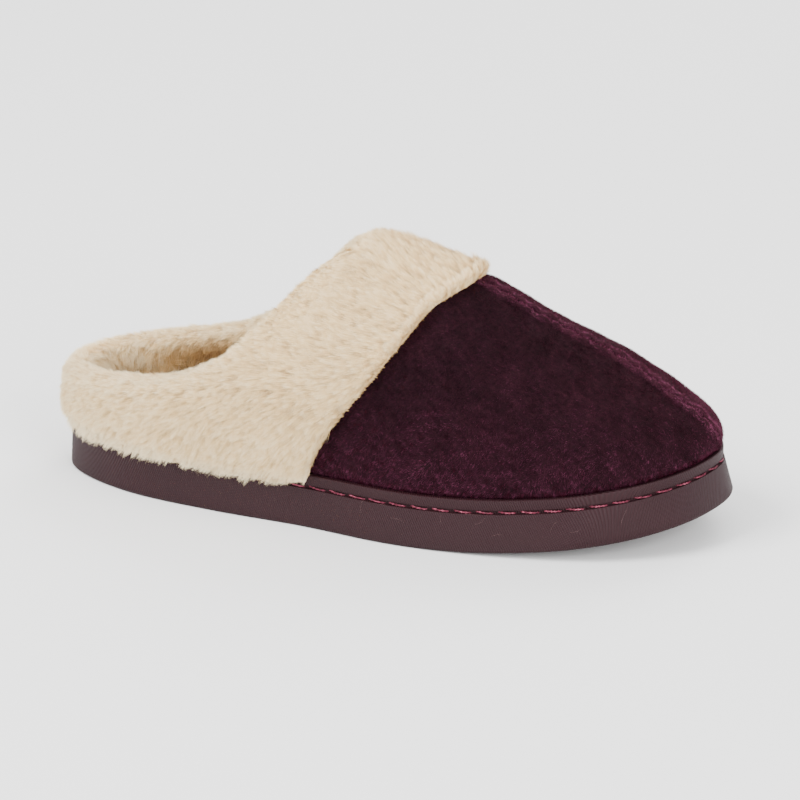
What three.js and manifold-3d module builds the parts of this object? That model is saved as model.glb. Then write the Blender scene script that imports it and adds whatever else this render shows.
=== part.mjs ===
import * as THREE from 'three';
import { mergeVertices } from 'three/addons/utils/BufferGeometryUtils.js';
import Module from 'manifold-3d';

// A right scuff slipper: a moulded cup sole, a footbed, a hollow velour upper and a deep fur cuff.
// Millimetres, +Z up, toe towards +X, outer side of the foot towards -Y. While it is built, X runs
// from 0 at the back of the sole, and the floor is Z = 0.

// Sole
const LENGTH = 260;
const HEEL_WIDTH = 68;
const WAIST_WIDTH = 78;
const BALL_WIDTH = 95;
const SOLE_HEIGHT = 19.5;
const HEEL_LIFT = 2.5;
const TOE_SPRING = 14;
const SPRING_START = 0.58;
const EDGE_ROUND = 1.3;
const TOE_LEAN = 3.3;
const HEEL_LEAN = 0.8;
const LIP_HEIGHT = 4.2;
const LIP_STEP = 0.5;
const LIP_THICKNESS = 2.2;
const LIP_ROUND = 0.6;
const GROOVE_HEIGHT = 1.2;
const GROOVE_DEPTH = 1.3;
const FLOOR_THICKNESS = 8.5;

// Tread under the sole
const TREAD_DEPTH = 1.2;
const TREAD_GROOVE = 2.4;
const TREAD_PITCH = 11;
const TREAD_BORDER = 9;
const ARCH_START = 0.32;
const ARCH_END = 0.47;
const ARCH_STEPS = 8;

// Footbed
const FOOTBED_THICKNESS = 6;
const FOOTBED_DISH = 1.5;
const FOOTBED_ROUND = 1.6;
const FOOTBED_MARGIN = 9.6;

// Upper
const UPPER_WALL = 3;
const UPPER_SET = 1.2;
const TUCK_HEIGHT = 3;
const INSTEP_RISE = 75;
const TOE_ROUND = 28;
const HEEL_ROUND = 34;
const COLLAR_HEEL = 36;
const COLLAR_INSTEP = 97;
const SEAM_WIDTH = 5;
const SEAM_RIDGE = 0.7;
const SEAM_GROOVE = 1.1;
const SEAM_SHIFT = 2;
const SEAM_START = 0.3;
const SEAM_FADE = 0.1;
const SEAM_CLEAR = 0.24;

// Fur cuff
const CUFF_CREST = 0.635;
const CUFF_CORNER = 0.425;
const HEEL_CENTRE = 0.138;
const PILE = 7.5;
const HEEL_PILE = 5.8;
const EDGE_PILE = 4.5;
const TOP_PILE = 8;
const INNER_PILE = 6;
const INNER_DEPTH = 20;
const HANG = 4.2;
const HEM_PILE = 1.6;
const HEM_BULGE = 0.85;
const LOCK_LENGTH = 24;
const LOCK_WIDTH = 11;
const LOCK_HEIGHT = 1.5;
const LOCK_SINK = 0.8;
const LOCK_LIFT = 0.04;
const LOCK_ROOT = 0.35;
const LOCK_TURN = 0.25;
const LOCK_SPACING = 17;
const HEEL_LOCK = 0.42;

// Fit between neighbours
const GAP = 0.3;

// Plan of the sole, a row for each cross section from heel to toe. `at` is its place as a share of the
// length, and `outer` and `inner` are its reach to each side as shares of the width that the row follows.
const PLAN = [
  { at: 0, width: HEEL_WIDTH, outer: 0, inner: 0 },
  { at: 0.012, width: HEEL_WIDTH, outer: 0.194, inner: 0.194 },
  { at: 0.05, width: HEEL_WIDTH, outer: 0.338, inner: 0.353 },
  { at: 0.14, width: HEEL_WIDTH, outer: 0.5, inner: 0.5 },
  { at: 0.28, width: WAIST_WIDTH, outer: 0.517, inner: 0.458 },
  { at: 0.42, width: WAIST_WIDTH, outer: 0.556, inner: 0.467 },
  { at: 0.55, width: BALL_WIDTH, outer: 0.512, inner: 0.437 },
  { at: 0.65, width: BALL_WIDTH, outer: 0.516, inner: 0.479 },
  { at: 0.74, width: BALL_WIDTH, outer: 0.492, inner: 0.495 },
  { at: 0.84, width: BALL_WIDTH, outer: 0.432, inner: 0.474 },
  { at: 0.92, width: BALL_WIDTH, outer: 0.321, inner: 0.395 },
  { at: 0.975, width: BALL_WIDTH, outer: 0.163, inner: 0.258 },
  { at: 1, width: BALL_WIDTH, outer: -0.053, inner: 0.053 },
];

// Sections of the upper. `rise` is the height of its crest over its widest line, as a share of
// INSTEP_RISE. `power` is the exponent of the section's curve: 2 is an ellipse, less is more peaked.
const SECTIONS = [
  { at: 0, rise: 1.04, power: 2 },
  { at: 0.35, rise: 1.03, power: 2 },
  { at: 0.5, rise: 1.004, power: 1.95 },
  { at: 0.56, rise: 0.965, power: 1.9 },
  { at: 0.635, rise: 0.907, power: 1.84 },
  { at: 0.67, rise: 0.85, power: 1.8 },
  { at: 0.71, rise: 0.762, power: 1.78 },
  { at: 0.8, rise: 0.588, power: 1.78 },
  { at: 0.846, rise: 0.486, power: 1.8 },
  { at: 0.89, rise: 0.371, power: 1.85 },
  { at: 0.934, rise: 0.276, power: 1.9 },
  { at: 1, rise: 0.2, power: 2 },
];

// Collar edge seen from the side, rising from COLLAR_HEEL (0) to COLLAR_INSTEP (1).
const COLLAR = [
  { at: 0.019, climb: 0 },
  { at: 0.188, climb: 0.1 },
  { at: 0.265, climb: 0.23 },
  { at: 0.323, climb: 0.4 },
  { at: 0.4, climb: 0.775 },
  { at: 0.446, climb: 0.945 },
  { at: 0.478, climb: 0.985 },
  { at: 0.492, climb: 1.06 },
];

// Front edge of the cuff seen from the side, from its corner at the sole (0) to the crest (1).
const CUFF_EDGE = [
  { climb: 0, forward: 0 },
  { climb: 0.23, forward: 0.138 },
  { climb: 0.417, forward: 0.321 },
  { climb: 0.581, forward: 0.48 },
  { climb: 0.77, forward: 0.655 },
  { climb: 0.906, forward: 0.79 },
  { climb: 1, forward: 1 },
];

// Front edge of the cuff in section, from the upper outwards: depth of the fur and distance from the
// edge, as shares of EDGE_PILE.
const EDGE_ROUNDING = [
  { depth: 0.35, back: 0 },
  { depth: 0.8, back: 0.25 },
  { depth: 1, back: 0.8 },
];

// Hem of the cuff in section, from its lower edge upwards: its reach beyond the lip of the sole as a
// share of HEM_PILE, and its distance below the top of the lip as a share of HANG.
const HEM = [
  { out: 0.7, down: 1 },
  { out: 1, down: 0 },
];

// Rows of fur locks: how far up a rib's section, their size, and the share of the way round that the row
// covers. The lowest row hangs over the lip of the sole and leaves out the front edge.
const LOCK_ROWS = [
  { up: 0.8, size: 0.75, from: 0.39, to: 0.99 },
  { up: 3.4, size: 1, from: 0, to: 1 },
  { up: 5.5, size: 1, from: 0, to: 1 },
  { up: 8, size: 0.9, from: 0, to: 1 },
];

// Number of steps: stations along the foot, columns over a section, ribs round the cuff
const STATIONS = 30;
const OUTLINE_STEPS = 480;
const COLUMNS = 7;
const FAN_RIBS = 14;
const SIDE_RIBS = 5;

const wasm = await Module();
wasm.setup();

function mix(a, b, t) {
  return a + (b - a) * t;
}

function smooth(t) {
  const c = THREE.MathUtils.clamp(t, 0, 1);
  return c * c * (3 - 2 * c);
}

// Value of a table's column at a place, on a smooth curve through its rows.
function tableCurve(rows, column) {
  const points = rows.map((row) => new THREE.Vector2(row.at, row[column]));
  const curve = new THREE.SplineCurve(points).getPoints(OUTLINE_STEPS / 2);
  return (at) => valueAt(curve, at);
}

// Height of a polyline, sorted by x, at one x.
function valueAt(line, x) {
  if (x <= line[0].x) {
    return line[0].y;
  }
  const next = line.findIndex((point) => point.x >= x);
  if (next < 1) {
    return line[line.length - 1].y;
  }
  const a = line[next - 1];
  const b = line[next];
  return mix(a.y, b.y, (x - a.x) / Math.max(b.x - a.x, 1e-9));
}

// Levels that follow the length of the foot

function springAt(x) {
  const t = Math.max(x / LENGTH - SPRING_START, 0) / (1 - SPRING_START);
  return TOE_SPRING * t * t;
}

function lipTopAt(x) {
  const lift = HEEL_LIFT * (1 - smooth((2 * x) / LENGTH));
  return SOLE_HEIGHT + lift + springAt(x);
}

function leanAt(x) {
  return mix(HEEL_LEAN, TOE_LEAN, smooth(x / LENGTH / SPRING_START));
}

function floorAt(x) {
  return FLOOR_THICKNESS + springAt(x);
}

function widestLineAt(x) {
  return lipTopAt(x) + TUCK_HEIGHT;
}

// The outline of the sole in plan, as points with their outward normals. It runs from the heel along
// the outer side to the toe and back along the inner side.
function soleOutline() {
  const outer = PLAN.slice(0, -1).map((row) => new THREE.Vector3(row.at * LENGTH, -row.outer * row.width, 0));
  const inner = PLAN.slice(1).map((row) => new THREE.Vector3(row.at * LENGTH, row.inner * row.width, 0));
  const loop = new THREE.CatmullRomCurve3([...outer, ...inner.reverse()], true, 'centripetal');
  const points = loop.getPoints(OUTLINE_STEPS).slice(0, -1);
  return points.map((point, i) => {
    const before = points[(i + points.length - 1) % points.length];
    const after = points[(i + 1) % points.length];
    const along = after.clone().sub(before).normalize();
    return { point, normal: new THREE.Vector3(along.y, -along.x, 0) };
  });
}

const OUTLINE = soleOutline();

// The outline moved inwards, as both sides' y for any x between its two ends.
function planInset(inset) {
  const loop = OUTLINE.map(({ point, normal }) => point.clone().addScaledVector(normal, -inset(point.x)));
  const heel = loop.reduce((best, point, i) => (point.x < loop[best].x ? i : best), 0);
  const turned = [...loop.slice(heel), ...loop.slice(0, heel), loop[heel]];
  const toe = turned.reduce((best, point, i) => (point.x > turned[best].x ? i : best), 0);
  const outer = turned.slice(0, toe + 1);
  const inner = turned.slice(toe).reverse();
  return {
    start: turned[0].x,
    end: turned[toe].x,
    sides: (x) => [valueAt(outer, x), valueAt(inner, x)],
  };
}

// Places along a plan, closer together towards its two ends.
function stationsOf(plan) {
  const middle = (plan.start + plan.end) / 2;
  const half = (plan.end - plan.start) / 2;
  return Array.from({ length: STATIONS + 1 }, (_, j) => middle - half * Math.cos((Math.PI * j) / STATIONS));
}

// A closed ring of points round the foot, heel, outer side, toe, inner side, at a height set by x.
function ring(inset, height) {
  const plan = planInset(inset);
  const stations = stationsOf(plan);
  const outer = stations.map((x) => new THREE.Vector3(x, plan.sides(x)[0], height(x)));
  const inner = stations.slice(1, -1).map((x) => new THREE.Vector3(x, plan.sides(x)[1], height(x)));
  return [...outer, ...inner.reverse()];
}

// Geometry and solids

function geometryOf(points, triangles) {
  const geometry = new THREE.BufferGeometry().setFromPoints(points);
  geometry.setIndex(triangles);
  return geometry;
}

function solidOf(geometry) {
  const bare = geometry.clone();
  bare.deleteAttribute('normal');
  bare.deleteAttribute('uv');
  const merged = mergeVertices(bare, 1e-5);
  const index = merged.index.array;
  const triangles = [];
  for (let i = 0; i < index.length; i += 3) {
    const [a, b, c] = index.slice(i, i + 3);
    if (a !== b && b !== c && c !== a) {
      triangles.push(a, b, c);
    }
  }
  const mesh = new wasm.Mesh({
    numProp: 3,
    vertProperties: new Float32Array(merged.attributes.position.array),
    triVerts: new Uint32Array(triangles),
  });
  return new wasm.Manifold(mesh);
}

function geometryFrom(solid) {
  const mesh = solid.getMesh();
  const geometry = new THREE.BufferGeometry();
  geometry.setAttribute('position', new THREE.BufferAttribute(new Float32Array(mesh.vertProperties), 3));
  geometry.setIndex(new THREE.BufferAttribute(new Uint32Array(mesh.triVerts), 1));
  return geometry;
}

// Triangles that close a ring of paired sides, facing up, or down when it is turned.
function capOf(first, count, turned) {
  const triangles = [];
  for (let j = 0; j < STATIONS; j += 1) {
    const a = first + j;
    const b = first + j + 1;
    const c = first + ((count - j - 1) % count);
    const d = first + ((count - j) % count);
    const corners = turned ? [a, c, b, a, d, c] : [a, b, c, a, c, d];
    triangles.push(...corners);
  }
  return triangles;
}

// A closed solid through a stack of rings. The first is capped downwards, the last upwards.
function stackOf(rings) {
  const count = rings[0].length;
  const triangles = capOf(0, count, true);
  for (let r = 0; r < rings.length - 1; r += 1) {
    for (let i = 0; i < count; i += 1) {
      const a = r * count + i;
      const b = r * count + ((i + 1) % count);
      triangles.push(a, b, b + count, a, b + count, a + count);
    }
  }
  triangles.push(...capOf((rings.length - 1) * count, count, false));
  return solidOf(geometryOf(rings.flat(), triangles));
}

// Cup sole

function lipInsetAt(x) {
  return leanAt(x) + LIP_STEP;
}

function lipInnerInsetAt(x) {
  return lipInsetAt(x) + LIP_THICKNESS;
}

function wallTopAt(x) {
  return lipTopAt(x) - LIP_HEIGHT - GROOVE_HEIGHT;
}

function cupSole() {
  const raised = (z) => (x) => springAt(x) + z;
  const below = (drop) => (x) => lipTopAt(x) - drop;
  const inset = (extra) => (x) => lipInsetAt(x) + extra;
  const corner = EDGE_ROUND * (1 - Math.SQRT1_2);
  return stackOf([
    ring(() => EDGE_ROUND, raised(0)),
    ring(() => corner, raised(corner)),
    ring(() => 0, raised(EDGE_ROUND)),
    ring(leanAt, wallTopAt),
    ring((x) => leanAt(x) + GROOVE_DEPTH, wallTopAt),
    ring((x) => leanAt(x) + GROOVE_DEPTH, below(LIP_HEIGHT)),
    ring(inset(0), below(LIP_HEIGHT)),
    ring(inset(0), below(LIP_ROUND)),
    ring(inset(LIP_ROUND), below(0)),
    ring(lipInnerInsetAt, below(0)),
    ring(lipInnerInsetAt, floorAt),
  ]);
}

// Hollow under the arch, as wide as the tread, with its ends square across the foot.
function archHollow(border) {
  const start = ARCH_START * LENGTH;
  const end = ARCH_END * LENGTH;
  const places = Array.from({ length: ARCH_STEPS + 1 }, (_, i) => mix(start, end, i / ARCH_STEPS));
  const outer = places.map((x) => new THREE.Vector2(x, border.sides(x)[0]));
  const inner = places.map((x) => new THREE.Vector2(x, border.sides(x)[1]));
  const shape = new THREE.Shape([...outer, ...inner.reverse()]);
  const plate = new THREE.ExtrudeGeometry(shape, { depth: 2 * TREAD_DEPTH, bevelEnabled: false });
  plate.translate(0, 0, -TREAD_DEPTH);
  return solidOf(plate);
}

// Grooves across the foot between the tread bars, on one stretch of the sole.
function treadGrooves(border, start, end) {
  const count = Math.floor((end - start) / TREAD_PITCH);
  return Array.from({ length: count }, (_, i) => {
    const x = start + ((i + 0.5) * (end - start)) / count;
    const [outer, inner] = border.sides(x);
    const groove = new THREE.BoxGeometry(TREAD_GROOVE, inner - outer, 2 * TREAD_DEPTH);
    groove.translate(x, (outer + inner) / 2, springAt(x));
    return solidOf(groove);
  });
}

function treadCuts() {
  const border = planInset(() => TREAD_BORDER);
  return [
    archHollow(border),
    ...treadGrooves(border, border.start, ARCH_START * LENGTH),
    ...treadGrooves(border, ARCH_END * LENGTH, border.end),
  ];
}

function sole() {
  return treadCuts().reduce((body, cut) => body.subtract(cut), cupSole());
}

// Footbed

function footbedInsetAt(x) {
  return lipInnerInsetAt(x) + GAP + UPPER_WALL + GAP;
}

function footbed() {
  const top = (drop) => (x) => floorAt(x) + GAP + FOOTBED_THICKNESS - drop;
  return stackOf([
    ring(footbedInsetAt, (x) => floorAt(x) + GAP),
    ring(footbedInsetAt, top(FOOTBED_ROUND)),
    ring((x) => footbedInsetAt(x) + FOOTBED_ROUND, top(0)),
    ring((x) => footbedInsetAt(x) + FOOTBED_MARGIN, top(FOOTBED_DISH)),
  ]);
}

// The last: the outer form of the upper

const riseShare = tableCurve(SECTIONS, 'rise');
const sectionPower = tableCurve(SECTIONS, 'power');
const lastPlan = planInset((x) => leanAt(x) + UPPER_SET);

// How far an end of the last has rounded up to its full height, from 0 at its tip to 1.
function endRound(distance, radius) {
  const t = THREE.MathUtils.clamp(1 - distance / radius, 0, 1);
  return Math.sqrt(1 - t * t);
}

function sectionAt(x) {
  const [outer, inner] = lastPlan.sides(x);
  const ends = endRound(lastPlan.end - x, TOE_ROUND) * endRound(x - lastPlan.start, HEEL_ROUND);
  return {
    middle: (outer + inner) / 2,
    half: Math.max((inner - outer) / 2, 1e-6),
    base: widestLineAt(x),
    rise: Math.max(INSTEP_RISE * riseShare(x / LENGTH) * ends, 1e-6),
    power: sectionPower(x / LENGTH),
  };
}

// Point of the last at a place along the foot and an angle from the outer (0) to the inner side (PI).
function lastPoint(x, angle) {
  const { middle, half, base, rise, power } = sectionAt(x);
  const across = Math.cos(angle);
  const up = Math.max(Math.sin(angle), 0);
  const reach = (across ** 2) ** (power / 2) + up ** power;
  const size = reach ** (-1 / power);
  return new THREE.Vector3(x, middle - half * across * size, base + rise * up * size);
}

function lastNormal(x, angle) {
  const dx = LENGTH * 1e-4;
  const back = Math.max(x - dx, lastPlan.start + dx / 10);
  const front = Math.min(x + dx, lastPlan.end - dx / 10);
  const along = lastPoint(front, angle).sub(lastPoint(back, angle));
  const across = lastPoint(x, angle + 1e-3).sub(lastPoint(x, angle - 1e-3));
  return along.cross(across).normalize();
}

// Angles of the columns over a section at x. Five of them carry the seam, a little to the outer side of
// the middle, with its relief, which narrows with the section towards the tips.
function columnsAt(x) {
  const { half } = sectionAt(x);
  const reach = Math.min(SEAM_WIDTH / 2, half / 5);
  const shift = Math.min(SEAM_SHIFT, half / 5);
  const fade = smooth((x / LENGTH - SEAM_START) / SEAM_FADE);
  const seam = fade * Math.min(1, reach / (SEAM_WIDTH / 2));
  const sides = Array.from({ length: COLUMNS }, (_, i) => (i / COLUMNS) * (Math.PI / 2 - SEAM_CLEAR));
  const centre = [
    { side: -1, relief: 0 },
    { side: -0.5, relief: SEAM_RIDGE },
    { side: 0, relief: -SEAM_GROOVE },
    { side: 0.5, relief: SEAM_RIDGE },
    { side: 1, relief: 0 },
  ];
  return [
    ...sides.map((angle) => ({ angle, relief: 0 })),
    ...centre.map(({ side, relief }) => ({
      angle: Math.PI / 2 + Math.asin((side * reach - shift) / half),
      relief: relief * seam,
    })),
    ...sides.map((angle) => ({ angle: Math.PI - angle, relief: 0 })).reverse(),
  ];
}

// A closed solid of the last, grown by an offset, down to a level over the sole's floor.
function last(offset, drop, seamed) {
  const stations = stationsOf(lastPlan);
  const rows = stations.slice(1, -1).map((x) => columnsAt(x).map(({ angle, relief }) => {
    const push = offset + (seamed ? relief : 0);
    return lastPoint(x, angle).addScaledVector(lastNormal(x, angle), push);
  }));
  const heel = lastPoint(lastPlan.start, 0).add(new THREE.Vector3(-offset, 0, 0));
  const toe = lastPoint(lastPlan.end, 0).add(new THREE.Vector3(offset, 0, 0));
  const columns = rows[0].length;
  const points = [heel, ...rows.flat(), toe];
  const toeIndex = points.length - 1;
  const at = (j, i) => 1 + j * columns + i;
  const triangles = [];
  for (let i = 0; i < columns - 1; i += 1) {
    triangles.push(0, at(0, i), at(0, i + 1));
    for (let j = 0; j < rows.length - 1; j += 1) {
      triangles.push(at(j, i), at(j + 1, i), at(j + 1, i + 1));
      triangles.push(at(j, i), at(j + 1, i + 1), at(j, i + 1));
    }
    triangles.push(at(rows.length - 1, i), toeIndex, at(rows.length - 1, i + 1));
  }
  // The lower edge of the dome, then the tucked stretch inside the lip of the sole
  const outerRim = rows.map((_, j) => at(j, 0));
  const innerRim = rows.map((_, j) => at(j, columns - 1));
  const rim = [0, ...outerRim, toeIndex, ...innerRim.reverse()];
  const skirtInset = (x) => lipInnerInsetAt(x) + GAP - offset;
  const skirt = [
    ring(skirtInset, lipTopAt),
    ring(skirtInset, (x) => floorAt(x) + GAP - drop),
  ];
  const count = rim.length;
  const first = points.length;
  points.push(...skirt[0], ...skirt[1]);
  for (let i = 0; i < count; i += 1) {
    const n = (i + 1) % count;
    const a = first + i;
    const b = first + n;
    triangles.push(a, b, rim[n], a, rim[n], rim[i]);
    triangles.push(a + count, b + count, b, a + count, b, a);
  }
  triangles.push(...capOf(first + count, count, true));
  return solidOf(geometryOf(points, triangles));
}

// Upper

const collarLine = new THREE.SplineCurve(COLLAR.map((row) => new THREE.Vector2(
  row.at * LENGTH,
  mix(COLLAR_HEEL, COLLAR_INSTEP, row.climb),
))).getPoints(24);

const collarEnd = collarLine[collarLine.length - 1].x;

// The foot opening: all that lies over the collar edge, seen from the side.
function footOpening(gap) {
  const tall = COLLAR_INSTEP + INSTEP_RISE;
  const edge = collarLine.map((point, i) => {
    const before = collarLine[Math.max(i - 1, 0)];
    const after = collarLine[Math.min(i + 1, collarLine.length - 1)];
    const along = after.clone().sub(before).normalize();
    return new THREE.Vector2(point.x - gap * along.y, point.y + gap * along.x);
  });
  const shape = new THREE.Shape([
    new THREE.Vector2(-LENGTH / 10, edge[0].y),
    ...edge,
    new THREE.Vector2(edge[edge.length - 1].x, tall),
    new THREE.Vector2(-LENGTH / 10, tall),
  ]);
  const prism = new THREE.ExtrudeGeometry(shape, { depth: 2 * BALL_WIDTH, bevelEnabled: false });
  prism.rotateX(Math.PI / 2);
  prism.translate(0, BALL_WIDTH, 0);
  return solidOf(prism);
}

// The wall of the upper, thicker by a gap on every side when it is used as a cutter.
function upperShell(gap) {
  const outside = last(gap, gap, true);
  const inside = last(-UPPER_WALL - gap, gap + 1, false);
  return outside.subtract(inside).subtract(footOpening(gap));
}

// Fur cuff

// The last as seen by a ray: less than 1 inside it, more outside.
function lastField(point) {
  if (point.x <= lastPlan.start || point.x >= lastPlan.end) {
    return 2;
  }
  const section = sectionAt(point.x);
  const across = Math.abs(point.y - section.middle) / section.half;
  const up = Math.abs(point.z - section.base) / section.rise;
  return across ** section.power + up ** section.power;
}

function bisect(low, high, isLow) {
  let [a, b] = [low, high];
  for (let i = 0; i < 30; i += 1) {
    const middle = (a + b) / 2;
    if (isLow(middle)) {
      a = middle;
    } else {
      b = middle;
    }
  }
  return a;
}

// Front edge of the cuff seen from the side: its x for a height.
const cuffCorner = CUFF_CORNER * LENGTH;
const cuffCrest = CUFF_CREST * LENGTH;
const cuffFootHeight = lipTopAt(cuffCorner);
const cuffCrestHeight = lastPoint(cuffCrest, Math.PI / 2).z;
const cuffForward = new THREE.SplineCurve(CUFF_EDGE.map((row) => new THREE.Vector2(
  mix(cuffFootHeight, cuffCrestHeight, row.climb),
  mix(cuffCorner, cuffCrest, row.forward),
))).getPoints(32);

function cuffFrontAt(z) {
  return valueAt(cuffForward, z);
}

// Ribs of the cuff fan out from two centres on the foot's axis, with straight sides between them. Ribs
// of the front fan end at the front edge, all others at the sole.
function ribFrames() {
  const rear = HEEL_CENTRE * LENGTH;
  const frames = [];
  for (let i = 0; i <= FAN_RIBS; i += 1) {
    const inner = i > 0 && i < FAN_RIBS;
    frames.push({ x: cuffCorner, angle: Math.PI * (i / FAN_RIBS - 0.5), onSole: !inner, corner: !inner });
  }
  for (let i = 1; i < SIDE_RIBS; i += 1) {
    frames.push({ x: mix(cuffCorner, rear, i / SIDE_RIBS), angle: Math.PI / 2, onSole: true });
  }
  for (let i = 0; i <= FAN_RIBS; i += 1) {
    frames.push({ x: rear, angle: Math.PI * (i / FAN_RIBS + 0.5), onSole: true });
  }
  for (let i = 1; i < SIDE_RIBS; i += 1) {
    frames.push({ x: mix(rear, cuffCorner, i / SIDE_RIBS), angle: -Math.PI / 2, onSole: true });
  }
  return frames;
}

// One rib: rays from its centre to the last, and the angles where the collar and the lower edge lie.
function ribOf({ x, angle, onSole, corner = false }) {
  const middle = sectionAt(x).middle;
  const base = widestLineAt(x);
  const out = new THREE.Vector3(Math.cos(angle), Math.sin(angle), 0);
  const pointAt = (distance, height) => new THREE.Vector3(x, middle, base)
    .addScaledVector(out, distance)
    .add(new THREE.Vector3(0, 0, height));
  const polar = (radius, tilt) => pointAt(radius * Math.cos(tilt), radius * Math.sin(tilt));
  const radiusAt = (tilt) => bisect(0, LENGTH, (radius) => lastField(polar(radius, tilt)) < 1);
  const surface = (tilt) => polar(radiusAt(tilt), tilt);
  const collar = bisect(0, Math.PI / 2, (tilt) => {
    const point = surface(tilt);
    return point.x > collarEnd || point.z < valueAt(collarLine, point.x);
  });
  const lower = onSole ? 0 : bisect(0, collar, (tilt) => {
    const point = surface(tilt);
    return point.x > cuffFrontAt(point.z);
  });
  return { pointAt, polar, radiusAt, surface, collar, lower, onSole, corner };
}

// Depth of the fur outside the upper at a point, thinner round the heel.
function pileAt(x) {
  return mix(HEEL_PILE, PILE, smooth((3 * x) / LENGTH));
}

// Closed section of one rib: up the outside, over the collar, down the inside, back through the wall.
function ribSection(rib) {
  const points = [];
  const collarPoint = rib.surface(rib.collar);
  const full = pileAt(collarPoint.x);
  const sidePile = rib.corner ? EDGE_PILE : pileAt(rib.surface(rib.lower).x);
  const edge = rib.radiusAt(rib.lower);
  if (rib.onSole) {
    const lip = edge + UPPER_SET - LIP_STEP;
    HEM.forEach(({ out, down }) => {
      points.push(rib.pointAt(lip + out * HEM_PILE, -TUCK_HEIGHT - down * HANG));
    });
    points.push(rib.pointAt(edge + HEM_BULGE * sidePile, 0));
  } else {
    EDGE_ROUNDING.forEach(({ depth, back }) => {
      points.push(rib.polar(edge + depth * EDGE_PILE, rib.lower + (back * EDGE_PILE) / edge));
    });
  }
  const outerSteps = 7;
  for (let i = 1; i <= outerSteps; i += 1) {
    const t = i / outerSteps;
    const tilt = mix(rib.lower, rib.collar, t);
    const start = rib.onSole ? sidePile : EDGE_PILE;
    const depth = mix(start, mix(sidePile, full, t), smooth(t * 2));
    points.push(rib.polar(rib.radiusAt(tilt) + depth, tilt));
  }
  const radius = rib.radiusAt(rib.collar);
  const inner = UPPER_WALL + INNER_PILE;
  const capSteps = 6;
  for (let i = 1; i <= capSteps; i += 1) {
    const turn = (Math.PI * i) / capSteps;
    const deep = (full - inner) / 2 + ((full + inner) / 2) * Math.cos(turn);
    const climb = TOP_PILE * Math.sin(turn);
    const up = new THREE.Vector2(Math.cos(rib.collar), Math.sin(rib.collar)).multiplyScalar(radius + deep);
    const over = new THREE.Vector2(-Math.sin(rib.collar), Math.cos(rib.collar)).multiplyScalar(climb);
    points.push(rib.pointAt(up.x + over.x, up.y + over.y));
  }
  const innerTilt = Math.max(rib.collar - INNER_DEPTH / radius, 0);
  const innerSteps = 3;
  for (let i = 1; i <= innerSteps; i += 1) {
    const tilt = mix(rib.collar, innerTilt, i / innerSteps);
    const share = i < innerSteps ? 1 : HEM_BULGE;
    points.push(rib.polar(rib.radiusAt(tilt) - share * inner, tilt));
  }
  points.push(rib.polar(rib.radiusAt(innerTilt) - UPPER_WALL / 2, innerTilt));
  const backSteps = 4;
  for (let i = 1; i <= backSteps; i += 1) {
    const tilt = mix(innerTilt, rib.lower, i / backSteps);
    points.push(rib.polar(rib.radiusAt(tilt) - UPPER_WALL / 2, tilt));
  }
  if (rib.onSole) {
    points.push(rib.pointAt(rib.radiusAt(0) - UPPER_WALL, -TUCK_HEIGHT - HANG));
  } else {
    points.push(rib.polar(rib.radiusAt(rib.lower) - UPPER_WALL / 4, rib.lower));
  }
  return points;
}

// Closed body of the fur, through the sections of its ribs.
function furRoll(sections) {
  const size = sections[0].length;
  const triangles = [];
  for (let k = 0; k < sections.length; k += 1) {
    for (let i = 0; i < size; i += 1) {
      const a = k * size + i;
      const b = k * size + ((i + 1) % size);
      const c = ((k + 1) % sections.length) * size + i;
      const d = ((k + 1) % sections.length) * size + ((i + 1) % size);
      triangles.push(a, c, d, a, d, b);
    }
  }
  return solidOf(geometryOf(sections.flat(), triangles));
}

// The outside of the sole and its lip as one plain block, a gap larger, for cutting the fur.
function soleBlock(gap) {
  return stackOf([
    ring(() => -gap, () => 0),
    ring(() => -gap, (x) => springAt(x) + EDGE_ROUND),
    ring((x) => leanAt(x) - gap, (x) => wallTopAt(x) + gap),
    ring((x) => lipInsetAt(x) - gap, (x) => wallTopAt(x) + GROOVE_HEIGHT),
    ring((x) => lipInsetAt(x) - gap, (x) => lipTopAt(x) + gap),
  ]);
}

// A place on the outside of the fur: `along` counts ribs and `up` counts the points of their sections.
function furPlace(sections, along, up) {
  const count = sections.length;
  const pointOf = (k, i) => {
    const rib = sections[((Math.floor(k) % count) + count) % count];
    const next = sections[((Math.floor(k) + 1) % count + count) % count];
    const low = Math.max(Math.floor(i), 0);
    const a = rib[low].clone().lerp(rib[low + 1], i - low);
    const b = next[low].clone().lerp(next[low + 1], i - low);
    return a.lerp(b, k - Math.floor(k));
  };
  const point = pointOf(along, up);
  const round = pointOf(along + 0.5, up).sub(pointOf(along - 0.5, up));
  const climb = pointOf(along, up + 0.5).sub(pointOf(along, up - 0.5));
  return { point, normal: round.cross(climb).normalize() };
}

// One lock of fur: a flat spindle along the nap, fullest near its root, with its tip lifted a little.
function furLock({ point, normal }, size, turn) {
  const nap = new THREE.Vector3(-0.8, 0, -0.6).projectOnPlane(normal).normalize();
  nap.applyAxisAngle(normal, turn);
  const across = normal.clone().cross(nap);
  const lock = new THREE.OctahedronGeometry(1);
  const corners = lock.attributes.position;
  for (let i = 0; i < corners.count; i += 1) {
    corners.setX(i, corners.getX(i) - LOCK_ROOT * (1 - Math.abs(corners.getX(i))));
  }
  lock.scale((size * LOCK_LENGTH) / 2, (size * LOCK_WIDTH) / 2, size * (LOCK_HEIGHT + LOCK_SINK));
  lock.rotateY(-LOCK_LIFT);
  lock.applyMatrix4(new THREE.Matrix4().makeBasis(nap, across, normal));
  const middle = point.clone().addScaledVector(normal, -size * LOCK_SINK);
  lock.translate(middle.x, middle.y, middle.z);
  return solidOf(lock);
}

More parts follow.
